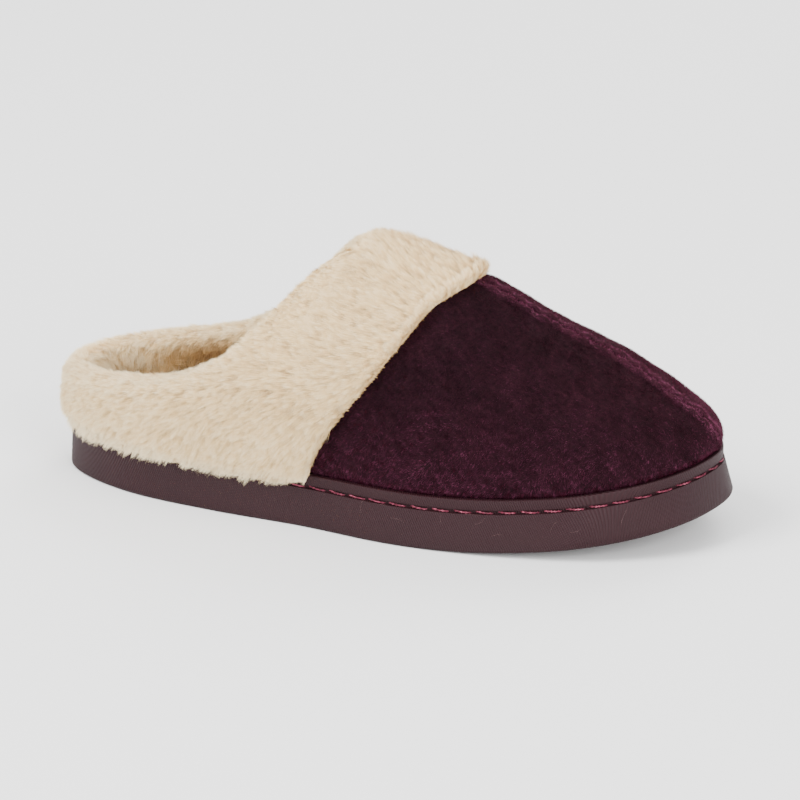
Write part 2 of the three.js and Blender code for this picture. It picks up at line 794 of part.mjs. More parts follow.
// Rows of locks round the cuff, each row half a step on from the one below.
function furLocks(sections) {
  const locks = [];
  LOCK_ROWS.forEach(({ up, size, from, to }, row) => {
    const girth = sections.reduce((sum, rib, k) => (
      sum + rib[Math.floor(up)].distanceTo(sections[(k + 1) % sections.length][Math.floor(up)])
    ), 0);
    const count = Math.round((girth * (to - from)) / LOCK_SPACING);
    for (let i = 0; i < count; i += 1) {
      const share = mix(from, to, (i + (row % 2) / 2) / count);
      const wave = Math.sin(5 * i + 3 * row);
      const place = furPlace(sections, share * sections.length, up + 0.25 * wave);
      const fineness = mix(HEEL_LOCK, 1, smooth((3 * place.point.x) / LENGTH));
      locks.push(furLock(place, size * fineness * (1 + 0.15 * wave), LOCK_TURN * Math.sin(3 * i + row)));
    }
  });
  return locks;
}

function cuff() {
  const sections = ribFrames().map(ribOf).map(ribSection);
  const fur = furLocks(sections).reduce((body, lock) => body.add(lock), furRoll(sections));
  return fur.subtract(upperShell(GAP)).subtract(soleBlock(GAP));
}

// Assembly

function pieceOf(name, solid, material) {
  const mesh = new THREE.Mesh(geometryFrom(solid), new THREE.MeshStandardMaterial(material));
  mesh.name = name;
  return mesh;
}

const slipper = new THREE.Group();
slipper.add(pieceOf('sole', sole(), { color: 0x5a4145, roughness: 0.55, metalness: 0 }));
slipper.add(pieceOf('insole', footbed(), { color: 0xcbb08f, roughness: 0.95, metalness: 0 }));
slipper.add(pieceOf('upper', upperShell(0), { color: 0x431c2a, roughness: 0.9, metalness: 0 }));
slipper.add(pieceOf('cuff', cuff(), { color: 0xded0b9, roughness: 1, metalness: 0 }));

// The origin is under the middle of the whole slipper, on the floor.
const box = new THREE.Box3().setFromObject(slipper);
slipper.position.set(-(box.min.x + box.max.x) / 2, -(box.min.y + box.max.y) / 2, -box.min.z);

export default slipper;
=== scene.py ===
import math

import bpy
import numpy as np
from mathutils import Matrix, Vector


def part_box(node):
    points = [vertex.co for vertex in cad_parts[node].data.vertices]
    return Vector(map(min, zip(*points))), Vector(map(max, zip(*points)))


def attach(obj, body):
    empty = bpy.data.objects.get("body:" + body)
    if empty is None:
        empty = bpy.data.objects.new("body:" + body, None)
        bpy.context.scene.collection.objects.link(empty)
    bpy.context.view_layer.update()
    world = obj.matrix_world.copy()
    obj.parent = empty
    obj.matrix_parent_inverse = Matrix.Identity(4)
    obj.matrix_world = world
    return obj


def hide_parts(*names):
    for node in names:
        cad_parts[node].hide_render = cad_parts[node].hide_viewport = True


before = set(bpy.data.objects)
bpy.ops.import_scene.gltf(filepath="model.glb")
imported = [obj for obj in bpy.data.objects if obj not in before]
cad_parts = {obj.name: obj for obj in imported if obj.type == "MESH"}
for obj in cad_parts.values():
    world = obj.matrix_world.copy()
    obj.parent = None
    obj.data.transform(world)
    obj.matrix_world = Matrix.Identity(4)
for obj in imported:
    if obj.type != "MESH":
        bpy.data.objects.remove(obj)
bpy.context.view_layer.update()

# Studio
# The slipper stands alone on a pale sheet in a bright room, under large soft lamps: one high on the left, a
# weaker one from the right and one from behind. The camera looks at its outer side from a little above.

heel_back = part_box("sole")[0]
look_at = Vector((heel_back.x + 0.130, 0.0011, 0.045))
camera_turn = math.radians(20)
camera_rise = math.radians(20)
camera_distance = 1.5

ahead = Vector((
    -math.sin(camera_turn) * math.cos(camera_rise),
    math.cos(camera_turn) * math.cos(camera_rise),
    -math.sin(camera_rise),
))
camera_data = bpy.data.cameras.new("camera")
camera_data.sensor_width = 36
camera_data.lens = 180.4
camera_data.shift_x = 0.0086
camera_data.shift_y = -0.0231
camera_data.clip_end = 20
camera = bpy.data.objects.new("camera", camera_data)
camera.location = look_at - ahead * camera_distance
camera.rotation_euler = ahead.to_track_quat("-Z", "Y").to_euler()
bpy.context.scene.collection.objects.link(camera)
bpy.context.scene.camera = camera


def mesh_object(name, points, faces):
    """A smooth shaded mesh in the scene, from points in metres and lists of their numbers."""
    mesh = bpy.data.meshes.new(name)
    mesh.from_pydata([tuple(p) for p in points], [], [tuple(f) for f in faces])
    mesh.update()
    mesh.shade_smooth()
    piece = bpy.data.objects.new(name, mesh)
    bpy.context.scene.collection.objects.link(piece)
    return piece


def plain_material(name):
    """A new material with its node tree and its Principled BSDF."""
    material = bpy.data.materials.new(name)
    material.use_nodes = True
    return material, material.node_tree, material.node_tree.nodes["Principled BSDF"]


def linear(red, green, blue):
    """A colour as read off a screen, 0 to 255, in the shader's own scale."""
    shares = (red / 255, green / 255, blue / 255)
    return tuple(c / 12.92 if c < 0.04045 else ((c + 0.055) / 1.055) ** 2.4 for c in shares)


def set_finish(shader, roughness, gloss, sheen=0.0, sheen_roughness=0.5, sheen_tint=(255, 255, 255)):
    """Sets how dull and glossy a surface is, and the sheen of its down, tinted as read off a screen."""
    shader.inputs["Roughness"].default_value = roughness
    shader.inputs["Specular IOR Level"].default_value = gloss
    shader.inputs["Sheen Weight"].default_value = sheen
    shader.inputs["Sheen Roughness"].default_value = sheen_roughness
    shader.inputs["Sheen Tint"].default_value = (*linear(*sheen_tint), 1)


floor_reach = 6
floor_corners = [(x * floor_reach, y * floor_reach, 0) for x, y in ((-1, -1), (1, -1), (1, 1), (-1, 1))]
floor = mesh_object("floor", floor_corners, [(0, 1, 2, 3)])
paper, _, paper_shader = plain_material("pale_paper")
paper_shader.inputs["Base Color"].default_value = (0.86, 0.86, 0.86, 1)
set_finish(paper_shader, 0.9, 0.1)
floor.data.materials.append(paper)

room = bpy.data.worlds.new("room")
room.use_nodes = True
room.node_tree.nodes["Background"].inputs["Color"].default_value = (1, 1, 1, 1)
room.node_tree.nodes["Background"].inputs["Strength"].default_value = 1.55
bpy.context.scene.world = room


def soft_lamp(name, place, size, power):
    """A square area lamp at a place, aimed at the middle of the slipper."""
    data = bpy.data.lights.new(name, "AREA")
    data.size = size
    data.energy = power
    lamp = bpy.data.objects.new(name, data)
    lamp.location = place
    lamp.rotation_euler = (look_at - Vector(place)).to_track_quat("-Z", "Y").to_euler()
    bpy.context.scene.collection.objects.link(lamp)


soft_lamp("key_lamp", (-0.9, -0.9, 1.5), 1.0, 52)
soft_lamp("fill_lamp", (1.4, -1.1, 0.8), 1.2, 44)
soft_lamp("back_lamp", (0.2, 1.5, 1.3), 1.0, 22)

# Cup sole
# One moulding of foamed rubber in a dull mauve brown. A lip stands round the foot above a stitched
# groove, and the wall below it flares out and is covered with fine slanting ribs from the mould.

LENGTH = 260
HEEL_WIDTH = 68
WAIST_WIDTH = 78
BALL_WIDTH = 95
SOLE_HEIGHT = 19.5
HEEL_LIFT = 2.5
TOE_SPRING = 14
SPRING_START = 0.58
EDGE_ROUND = 1.3
TOE_LEAN = 3.3
HEEL_LEAN = 0.8
LIP_HEIGHT = 4.2
LIP_STEP = 0.5
LIP_THICKNESS = 2.2
LIP_ROUND = 0.6
LIP_UNDER_ROUND = 0.4
GROOVE_HEIGHT = 1.2
GROOVE_DEPTH = 1.3
FLOOR_THICKNESS = 8.5
TREAD_DEPTH = 1.2
TREAD_GROOVE = 2.4
TREAD_PITCH = 11
TREAD_BORDER = 9
ARCH_START = 0.32
ARCH_END = 0.47

# Plan of the sole: place along it, the width that the row follows, and its reach to either side
PLAN = [
    (0, HEEL_WIDTH, 0, 0),
    (0.012, HEEL_WIDTH, 0.194, 0.194),
    (0.05, HEEL_WIDTH, 0.338, 0.353),
    (0.14, HEEL_WIDTH, 0.5, 0.5),
    (0.28, WAIST_WIDTH, 0.517, 0.458),
    (0.42, WAIST_WIDTH, 0.556, 0.467),
    (0.55, BALL_WIDTH, 0.512, 0.437),
    (0.65, BALL_WIDTH, 0.516, 0.479),
    (0.74, BALL_WIDTH, 0.492, 0.495),
    (0.84, BALL_WIDTH, 0.432, 0.474),
    (0.92, BALL_WIDTH, 0.321, 0.395),
    (0.975, BALL_WIDTH, 0.163, 0.258),
    (1, BALL_WIDTH, -0.053, 0.053),
]


def smooth_step(t):
    c = np.clip(t, 0, 1)
    return c * c * (3 - 2 * c)


def smooth_line(rows, steps):
    """Points on a smooth open curve through the rows."""
    p = np.array(rows, float)
    last = len(p) - 1
    t = np.linspace(0, last, steps + 1)
    i = np.minimum(t.astype(int), last)
    w = (t - i)[:, None]
    before, here = p[np.maximum(i - 1, 0)], p[i]
    after, beyond = p[np.minimum(i + 1, last)], p[np.minimum(i + 2, last)]
    v0, v1 = (after - before) / 2, (beyond - here) / 2
    cubic = (2 * here - 2 * after + v0 + v1) * w**3
    return cubic + (3 * after - 3 * here - 2 * v0 - v1) * w**2 + v0 * w + here


def column_curve(rows, column):
    """A function of the place along the foot, on a smooth curve through one column of a table."""
    line = smooth_line([(row[0], row[column]) for row in rows], 240)
    return lambda at: np.interp(at, line[:, 0], line[:, 1])


def closed_outline(rows, steps):
    """Points on a smooth closed curve through the rows, with the outward normal at each."""
    p = np.array(rows, float)
    count = len(p)
    points = []
    for step in range(steps):
        place = count * step / steps
        i, w = int(place), place % 1
        x0, x1, x2, x3 = (p[(i + k) % count] for k in (-1, 0, 1, 2))
        d0, d1, d2 = (math.sqrt(np.linalg.norm(b - a)) for a, b in ((x0, x1), (x1, x2), (x2, x3)))
        t1 = ((x1 - x0) / d0 - (x2 - x0) / (d0 + d1) + (x2 - x1) / d1) * d1
        t2 = ((x2 - x1) / d1 - (x3 - x1) / (d1 + d2) + (x3 - x2) / d2) * d1
        square = (3 * x2 - 3 * x1 - 2 * t1 - t2) * w**2
        points.append(x1 + t1 * w + square + (2 * x1 - 2 * x2 + t1 + t2) * w**3)
    line = np.array(points)
    along = np.roll(line, -1, 0) - np.roll(line, 1, 0)
    along /= np.linalg.norm(along, axis=1)[:, None]
    return line, np.column_stack([along[:, 1], -along[:, 0]])


outer_rows = [(at * LENGTH, -outer * width) for at, width, outer, inner in PLAN[:-1]]
inner_rows = [(at * LENGTH, inner * width) for at, width, outer, inner in PLAN[1:]]
outline, outline_normals = closed_outline(outer_rows + inner_rows[::-1], 960)
origin = np.array([heel_back.x * 1000 - outline[:, 0].min(), heel_back.y * 1000 - outline[:, 1].min(), 0])


def in_metres(points):
    """From millimetres with the back of the heel at X 0, to metres where the solids stand."""
    return (np.asarray(points, float) + origin) / 1000


class Plan:
    """The outline of the sole moved inwards: its two ends, and its two sides at any x between them."""

    def __init__(self, inset):
        loop = outline - outline_normals * inset(outline[:, 0])[:, None]
        loop = np.roll(loop, -loop[:, 0].argmin(), 0)
        loop = np.vstack([loop, loop[:1]])
        toe = loop[:, 0].argmax()
        self.start, self.end = loop[0, 0], loop[toe, 0]
        self.outer, self.inner = loop[: toe + 1], loop[toe:][::-1]

    def sides(self, x):
        outer = np.interp(x, np.maximum.accumulate(self.outer[:, 0]), self.outer[:, 1])
        inner = np.interp(x, np.maximum.accumulate(self.inner[:, 0]), self.inner[:, 1])
        return outer, inner

    def stations(self, count):
        turn = np.cos(np.pi * np.arange(count + 1) / count)
        return (self.start + self.end) / 2 - (self.end - self.start) / 2 * turn


def spring_at(x):
    return TOE_SPRING * np.maximum(x / LENGTH - SPRING_START, 0) ** 2 / (1 - SPRING_START) ** 2


def lip_top_at(x):
    return SOLE_HEIGHT + HEEL_LIFT * (1 - smooth_step(2 * x / LENGTH)) + spring_at(x)


def lean_at(x):
    return HEEL_LEAN + (TOE_LEAN - HEEL_LEAN) * smooth_step(x / LENGTH / SPRING_START)


def floor_at(x):
    return FLOOR_THICKNESS + spring_at(x)


def wall_top_at(x):
    return lip_top_at(x) - LIP_HEIGHT - GROOVE_HEIGHT


def lip_inset_at(x):
    return lean_at(x) + LIP_STEP


def lip_inner_inset_at(x):
    return lip_inset_at(x) + LIP_THICKNESS


def ring(inset, height, count):
    """A closed ring of points round the foot, from the heel along the outer side and back."""
    plan = Plan(inset)
    x = plan.stations(count)
    outer, inner = plan.sides(x)
    near = np.column_stack([x, outer, height(x)])
    far = np.column_stack([x, inner, height(x)])
    return np.vstack([near, far[-2:0:-1]])


def cap_faces(first, count, stations, up):
    """Faces across a ring of paired sides."""
    faces = []
    for j in range(stations):
        face = (first + j, first + j + 1, first + (count - j - 1) % count, first + (count - j) % count)
        face = tuple(dict.fromkeys(face))
        faces.append(face if up else face[::-1])
    return faces


def loft_faces(rings, count):
    return [
        (r * count + i, r * count + (i + 1) % count, (r + 1) * count + (i + 1) % count, (r + 1) * count + i)
        for r in range(rings - 1)
        for i in range(count)
    ]


def stack(name, rings, stations):
    """A closed mesh through a stack of rings, the first capped downwards and the last upwards."""
    count = len(rings[0])
    faces = cap_faces(0, count, stations, False)
    faces += loft_faces(len(rings), count)
    faces += cap_faces((len(rings) - 1) * count, count, stations, True)
    return mesh_object(name, in_metres(np.vstack(rings)), faces)


def rounding(steps):
    """Shares of a radius, across and up, round a quarter turn."""
    turns = np.linspace(0, math.pi / 2, steps + 1)
    return [(1 - math.cos(t), math.sin(t)) for t in turns]


def foot_at(x):
    return spring_at(x) + EDGE_ROUND


sole_stations = 150
rings = []


def add_ring(inset, height):
    rings.append(ring(inset, height, sole_stations))


for across, up in rounding(4):
    add_ring(lambda x: EDGE_ROUND * (1 - up) + 0 * x, lambda x: spring_at(x) + EDGE_ROUND * across)
for share in (0.2, 0.45, 0.7, 0.93, 0.98, 1):
    add_ring(lambda x: lean_at(x) * share, lambda x: foot_at(x) + (wall_top_at(x) - foot_at(x)) * share)
groove_profile = [(0.35, 0), (GROOVE_DEPTH, 0.12), (GROOVE_DEPTH, GROOVE_HEIGHT - 0.1), (0.85, GROOVE_HEIGHT)]
for depth, climb in groove_profile:
    add_ring(lambda x: lean_at(x) + depth, lambda x: wall_top_at(x) + climb)
for across, up in rounding(3):
    add_ring(
        lambda x: lip_inset_at(x) + LIP_UNDER_ROUND * (1 - up),
        lambda x: lip_top_at(x) - LIP_HEIGHT + LIP_UNDER_ROUND * across,
    )
for across, up in rounding(4):
    add_ring(lambda x: lip_inset_at(x) + LIP_ROUND * across, lambda x: lip_top_at(x) - LIP_ROUND * (1 - up))
for inset, drop in ((LIP_THICKNESS - 0.3, 0.0), (LIP_THICKNESS, 0.3)):
    add_ring(lambda x: lip_inset_at(x) + inset, lambda x: lip_top_at(x) - drop)
add_ring(lip_inner_inset_at, floor_at)
sole = stack("sole_cup", rings, sole_stations)

# Ribs of the wall run along x and lean by a share of their height, the other way round the toe
wall_line = rings[6][:, :2]
steps = np.linalg.norm(np.diff(wall_line, axis=0, append=wall_line[:1]), axis=1)
run = np.concatenate([[0], np.cumsum(steps)[:-1]])
vertical = np.vstack(rings)[:, 2]
shear = 0.45 - 0.9 * smooth_step((np.vstack(rings)[:, 0] / LENGTH - 0.8) / 0.12)
rib_run = np.tile(run, len(rings)) + shear * (vertical - SOLE_HEIGHT / 2)
uv_layer = sole.data.uv_layers.new(name="wall")
loop_vertices = np.empty(len(sole.data.loops), int)
sole.data.loops.foreach_get("vertex_index", loop_vertices)
uv = np.column_stack([rib_run[loop_vertices] / 1000, vertical[loop_vertices] / 1000])
uv_layer.data.foreach_set("uv", uv.ravel())


def cut_away(piece, cutter):
    """Cuts one closed mesh out of another and deletes the cutter."""
    cut = piece.modifiers.new("cut", "BOOLEAN")
    cut.operation = "DIFFERENCE"
    cut.solver = "MANIFOLD"
    cut.object = cutter
    graph = bpy.context.evaluated_depsgraph_get()
    result = bpy.data.meshes.new_from_object(piece.evaluated_get(graph))
    piece.modifiers.clear()
    old = piece.data
    piece.data = result
    result.name = old.name
    bpy.data.meshes.remove(old)
    bpy.data.objects.remove(cutter)


def box_points(low, high):
    return [(x, y, z) for x in (low[0], high[0]) for y in (low[1], high[1]) for z in (low[2], high[2])]


BOX_FACES = [(0, 1, 3, 2), (4, 6, 7, 5), (0, 4, 5, 1), (2, 3, 7, 6), (0, 2, 6, 4), (1, 5, 7, 3)]

border = Plan(lambda x: TREAD_BORDER + 0 * x)
cutter_points, cutter_faces = [], []
for start, end in ((border.start, ARCH_START * LENGTH), (ARCH_END * LENGTH, border.end)):
    count = int((end - start) / TREAD_PITCH)
    for i in range(count):
        x = start + (i + 0.5) * (end - start) / count
        outer, inner = border.sides(x)
        low = (x - TREAD_GROOVE / 2, outer, spring_at(x) - TREAD_DEPTH)
        high = (x + TREAD_GROOVE / 2, inner, spring_at(x) + TREAD_DEPTH)
        cutter_faces += [tuple(len(cutter_points) + k for k in face) for face in BOX_FACES]
        cutter_points += box_points(low, high)
arch_x = np.linspace(ARCH_START, ARCH_END, 9) * LENGTH
outer, inner = border.sides(arch_x)
loop = np.vstack([np.column_stack([arch_x, outer]), np.column_stack([arch_x, inner])[::-1]])
first = len(cutter_points)
cutter_points += [(x, y, -TREAD_DEPTH) for x, y in loop] + [(x, y, TREAD_DEPTH) for x, y in loop]
side = len(loop)
cutter_faces += [tuple(first + k for k in range(side))[::-1], tuple(first + side + k for k in range(side))]
for k in range(side):
    n = (k + 1) % side
    cutter_faces.append((first + k, first + n, first + side + n, first + side + k))
cut_away(sole, mesh_object("tread_cutter", in_metres(cutter_points), cutter_faces))
sole.data.shade_smooth()
sole.data.set_sharp_from_angle(angle=math.radians(38))


def node_group(name, inputs, outputs):
    """An empty shader node group with its named sockets, as (name, socket type, value)."""
    group = bpy.data.node_groups.new(name, "ShaderNodeTree")
    for label, kind, value in inputs:
        socket = group.interface.new_socket(label, in_out="INPUT", socket_type=kind)
        if value is not None:
            socket.default_value = value
    for label, kind in outputs:
        group.interface.new_socket(label, in_out="OUTPUT", socket_type=kind)
    return group, group.nodes.new("NodeGroupInput"), group.nodes.new("NodeGroupOutput")


def maths(tree, operation, a, b=None):
    """A Math node on values or sockets. Returns its output."""
    node = tree.nodes.new("ShaderNodeMath")
    node.operation = operation
    for slot, value in ((0, a), (1, b)):
        if isinstance(value, (int, float)):
            node.inputs[slot].default_value = value
        elif value is not None:
            tree.links.new(value, node.inputs[slot])
    return node.outputs[0]


def weighted(tree, *parts):
    """The sum of sockets, each times its number."""
    total = None
    for socket, weight in parts:
        part = maths(tree, "MULTIPLY", socket, weight)
        total = part if total is None else maths(tree, "ADD", total, part)
    return total


def noise(tree, vector, scale, detail=3.0, roughness=0.55):
    node = tree.nodes.new("ShaderNodeTexNoise")
    node.inputs["Detail"].default_value = detail
    node.inputs["Roughness"].default_value = roughness
    if isinstance(scale, (int, float)):
        node.inputs["Scale"].default_value = scale
    else:
        tree.links.new(scale, node.inputs["Scale"])
    if vector is not None:
        tree.links.new(vector, node.inputs["Vector"])
    return node.outputs["Fac"]


def colour_by(tree, shader, factor, stops):
    """Colours a surface by a ramp, its stops given as (place, colour as read off a screen)."""
    node = tree.nodes.new("ShaderNodeValToRGB")
    while len(node.color_ramp.elements) < len(stops):
        node.color_ramp.elements.new(0.5)
    for element, (place, colour) in zip(node.color_ramp.elements, stops):
        element.position = place
        element.color = (*linear(*colour), 1)
    tree.links.new(factor, node.inputs["Fac"])
    tree.links.new(node.outputs["Color"], shader.inputs["Base Color"])


def bump(tree, shader, height, strength, distance):
    node = tree.nodes.new("ShaderNodeBump")
    node.inputs["Strength"].default_value = strength
    node.inputs["Distance"].default_value = distance
    tree.links.new(height, node.inputs["Height"])
    tree.links.new(node.outputs["Normal"], shader.inputs["Normal"])


def own_space(tree):
    """The place on the piece itself, in metres."""
    return tree.nodes.new("ShaderNodeTexCoord").outputs["Object"]


def place_group(tree, group, vector, values):
    """Puts a shader group in a material, with its own values. Returns its outputs."""
    node = tree.nodes.new("ShaderNodeGroup")
    node.node_tree = group
    for label, value in values.items():
        node.inputs[label].default_value = value
    tree.links.new(vector, node.inputs["Vector"])
    return node.outputs


# Fine specks of handling on the rubber
dust, dust_in, dust_out = node_group(
    "handling_specks",
    [
        ("Vector", "NodeSocketVector", None),
        ("Scale", "NodeSocketFloat", 900.0),
        ("Amount", "NodeSocketFloat", 0.5),
    ],
    [("Mask", "NodeSocketFloat")],
)
dust_noise = noise(dust, dust_in.outputs["Vector"], dust_in.outputs["Scale"], 2.0)
dust_edge = maths(dust, "SUBTRACT", 0.86, maths(dust, "MULTIPLY", dust_in.outputs["Amount"], 0.2))
dust.links.new(
    maths(dust, "MULTIPLY", maths(dust, "GREATER_THAN", dust_noise, dust_edge), dust_in.outputs["Amount"]),
    dust_out.inputs["Mask"],
)

rubber, tree, shader = plain_material("moulded_rubber")
wall_map = tree.nodes.new("ShaderNodeUVMap")
wall_map.uv_map = "wall"
wall = tree.nodes.new("ShaderNodeSeparateXYZ")
tree.links.new(wall_map.outputs["UV"], wall.inputs["Vector"])
rib_pitch = 0.00092
ribs = maths(tree, "SINE", maths(tree, "MULTIPLY", wall.outputs["X"], 2 * math.pi / rib_pitch))
space = own_space(tree)
specks = place_group(tree, dust, space, {"Scale": 1300, "Amount": 0.35})["Mask"]
# The ribs also make their ridges a little lighter and their grooves darker in colour: painted shade of the
# ribs. The specks are dust.
tone = weighted(tree, (noise(tree, space, 35.0, 5.0), 0.35), (ribs, 0.09), (specks, 1.2))
colour_by(tree, shader, tone, [(0.0, (32, 10, 15)), (0.3, (39, 13, 19)), (1, (82, 44, 56))])
bump(tree, shader, weighted(tree, (ribs, 0.5), (noise(tree, space, 1500.0), 0.5)), 0.8, 0.0003)
set_finish(shader, 0.55, 0.2)
sole.data.materials.clear()
sole.data.materials.append(rubber)
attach(sole, "root")
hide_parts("sole")

# Stitching of the lip
# One row of long lockstitches in a thick two-ply polyester thread, wine pink, lies in the groove under
# the lip and fastens the upper. Each stitch rises out of its hole, runs a little slanted and dips in.

stitch_pitch = 8.3
stitch_length = 7.3
ply_radius = 0.18
ply_offset = 0.21
ply_turns = 2.6
thread_depth = 0.9


def tube(points, radius, sides):
    """Points and faces of a thin tube along a line, with its ends drawn in."""
    along = np.gradient(points, axis=0)
    along /= np.linalg.norm(along, axis=1)[:, None]
    side = np.cross(along, (0, 0, 1.0))
    side /= np.linalg.norm(side, axis=1)[:, None]
    up = np.cross(side, along)
    turns = np.arange(sides) * 2 * math.pi / sides
    from_end = np.minimum(np.arange(len(points)), np.arange(len(points))[::-1])
    taper = np.minimum(1, from_end / 2 + 0.35) * radius
    circle = np.cos(turns)[None, :, None] * side[:, None, :] + np.sin(turns)[None, :, None] * up[:, None, :]
    skin = points[:, None, :] + circle * taper[:, None, None]
    faces = []
    for j in range(len(points) - 1):
        for k in range(sides):
            n = (k + 1) % sides
            faces.append((j * sides + k, j * sides + n, (j + 1) * sides + n, (j + 1) * sides + k))
    last = (len(points) - 1) * sides
    faces += [tuple(range(sides))[::-1], tuple(last + k for k in range(sides))]
    return skin.reshape(-1, 3), faces


def threads(name, lines, radius, sides):
    """Thin tubes along several lines, joined as one mesh."""
    skins, all_faces, total = [], [], 0
    for line in lines:
        skin, faces = tube(line, radius, sides)
        skins.append(skin)
        all_faces += [tuple(total + v for v in face) for face in faces]
        total += len(skin)
    return mesh_object(name, in_metres(np.vstack(skins)), all_faces)


groove_line = ring(lambda x: lean_at(x) + thread_depth, lambda x: wall_top_at(x) + GROOVE_HEIGHT / 2, 300)
groove_steps = np.linalg.norm(np.diff(groove_line, axis=0, append=groove_line[:1]), axis=1)
groove_run = np.concatenate([[0], np.cumsum(groove_steps)])
groove_line = np.vstack([groove_line, groove_line[:1]])
stitch_count = int(groove_run[-1] / stitch_pitch)
chance = np.random.default_rng(11)
plies = []
for k in range(stitch_count):
    middle = (k + 0.5) * groove_run[-1] / stitch_count
    t = np.linspace(0, 1, 15)
    place = middle + (t - 0.5) * stitch_length * chance.uniform(0.95, 1.04)
    line = np.column_stack([np.interp(place, groove_run, groove_line[:, axis]) for axis in range(3)])
    along = np.gradient(line, axis=0)
    along /= np.linalg.norm(along, axis=1)[:, None]
    out = np.cross(along, (0, 0, 1.0))
    out /= np.linalg.norm(out, axis=1)[:, None]
    lift = -0.75 + 1.15 * np.sin(np.pi * t) ** 0.5
    slant = chance.uniform(0.55, 0.85) * (0.5 - t)
    line = line + out * lift[:, None] + np.column_stack([0 * t, 0 * t, slant])
    turn = chance.uniform(0, math.pi)
    for ply in (0, math.pi):
        phase = turn + ply + t * ply_turns * 2 * math.pi
        aside = np.cos(phase)[:, None] * out + np.sin(phase)[:, None] * np.array([0, 0, 1.0])
        plies.append(line + ply_offset * aside)
stitches = threads("lip_stitches", plies, ply_radius, 6)

thread, tree, shader = plain_material("twisted_thread")
space = own_space(tree)
# Dark wine thread with light pink spots at random: painted highlights on its twisted plies
thread_wine_and_highlights = [(0.3, (60, 10, 24)), (0.52, (104, 30, 52)), (0.75, (176, 92, 112))]
colour_by(tree, shader, noise(tree, space, 900.0, 2.0), thread_wine_and_highlights)
bump(tree, shader, noise(tree, space, 4000.0), 0.4, 0.0001)
set_finish(shader, 0.4, 0.35)
stitches.data.materials.append(thread)
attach(stitches, "root")

# Footbed
# A foam pad covered in the same cream plush as the cuff, a little dished under the foot. It lies loose
# on the floor of the cup sole, inside the upper.

GAP = 0.3
UPPER_WALL = 3
FOOTBED_THICKNESS = 6
FOOTBED_DISH = 1.5
FOOTBED_ROUND = 1.6
FOOTBED_MARGIN = 9.6

footbed_stations = 110


def footbed_inset(x):
    return lip_inner_inset_at(x) + GAP + UPPER_WALL + GAP


def footbed_top(x):
    return floor_at(x) + GAP + FOOTBED_THICKNESS


rings = [ring(footbed_inset, lambda x: floor_at(x) + GAP, footbed_stations)]
for across, up in rounding(5):
    rings.append(ring(
        lambda x: footbed_inset(x) + FOOTBED_ROUND * across,
        lambda x: footbed_top(x) - FOOTBED_ROUND * (1 - up),
        footbed_stations,
    ))
for share in (0.15, 0.35, 0.55, 0.75, 0.9, 1):
    rings.append(ring(
        lambda x: footbed_inset(x) + FOOTBED_ROUND + (FOOTBED_MARGIN - FOOTBED_ROUND) * share,
        lambda x: footbed_top(x) - FOOTBED_DISH * smooth_step(share),
        footbed_stations,
    ))
footbed = stack("footbed", rings, footbed_stations)

# Clumps of soft pile: broad tufts with fine strands on them, their tone lighter where the pile stands high
# and darker in its hollows, as painted shade
pile, pile_in, pile_out = node_group(
    "pile_tufts",
    [
        ("Vector", "NodeSocketVector", None),
        ("Tuft Scale", "NodeSocketFloat", 220.0),
        ("Strand Scale", "NodeSocketFloat", 1400.0),
    ],
    [("Height", "NodeSocketFloat"), ("Shaded Tone", "NodeSocketFloat")],
)
tufts = noise(pile, pile_in.outputs["Vector"], pile_in.outputs["Tuft Scale"], 3.0)
strands = noise(pile, pile_in.outputs["Vector"], pile_in.outputs["Strand Scale"], 4.0, 0.7)
pile.links.new(weighted(pile, (tufts, 0.65), (strands, 0.35)), pile_out.inputs["Height"])
pile.links.new(weighted(pile, (tufts, 0.5), (strands, 0.5)), pile_out.inputs["Shaded Tone"])


def plush_material(name, dark, light, tuft_scale, strand_scale, depth):
    """Plush seen from close by: a matt pile between a dark and a light colour, with painted shade in its
    hollows.
    """
    material, tree, shader = plain_material(name)
    scales = {"Tuft Scale": tuft_scale, "Strand Scale": strand_scale}
    tufted = place_group(tree, pile, own_space(tree), scales)
    colour_by(tree, shader, tufted["Shaded Tone"], [(0.3, dark), (0.7, light)])
    bump(tree, shader, tufted["Height"], 0.8, depth)
    set_finish(shader, 0.95, 0.15, sheen=0.35)
    return material


footbed_plush = plush_material("footbed_plush", (190, 146, 100), (238, 206, 160), 240.0, 1500.0, 0.0016)
footbed.data.materials.append(footbed_plush)
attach(footbed, "root")
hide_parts("insole")

# Upper
# Two halves of wine red velour, joined by a seam over the instep and toe, with a fleece lining. The nap
# is short and catches the light where it is turned, and the puckered welts of the seam carry a painted
# highlight.

UPPER_SET = 1.2
TUCK_HEIGHT = 3
INSTEP_RISE = 75
TOE_ROUND = 28
HEEL_ROUND = 34
COLLAR_HEEL = 36
COLLAR_INSTEP = 97
SEAM_RIDGE = 0.95
SEAM_GROOVE = 1.5
SEAM_SHIFT = 2
SEAM_REACH = 4.6
SEAM_START = 0.3
SEAM_FADE = 0.1
pucker_pitch = 6.2

# Sections: place along the sole, rise of the crest as a share, exponent of the section's curve
SECTIONS = [
    (0, 1.04, 2),
    (0.35, 1.03, 2),
    (0.5, 1.004, 1.95),
    (0.56, 0.965, 1.9),
    (0.635, 0.907, 1.84),
    (0.67, 0.85, 1.8),
    (0.71, 0.762, 1.78),
    (0.8, 0.588, 1.78),
    (0.846, 0.486, 1.8),
    (0.89, 0.371, 1.85),
    (0.934, 0.276, 1.9),
    (1, 0.2, 2),
]

# Collar edge from the side: place along the sole and climb from heel to instep
COLLAR = [
    (0.019, 0),
    (0.188, 0.1),
    (0.265, 0.23),
    (0.323, 0.4),
    (0.4, 0.775),
    (0.446, 0.945),
    (0.478, 0.985),
    (0.492, 1.06),
]

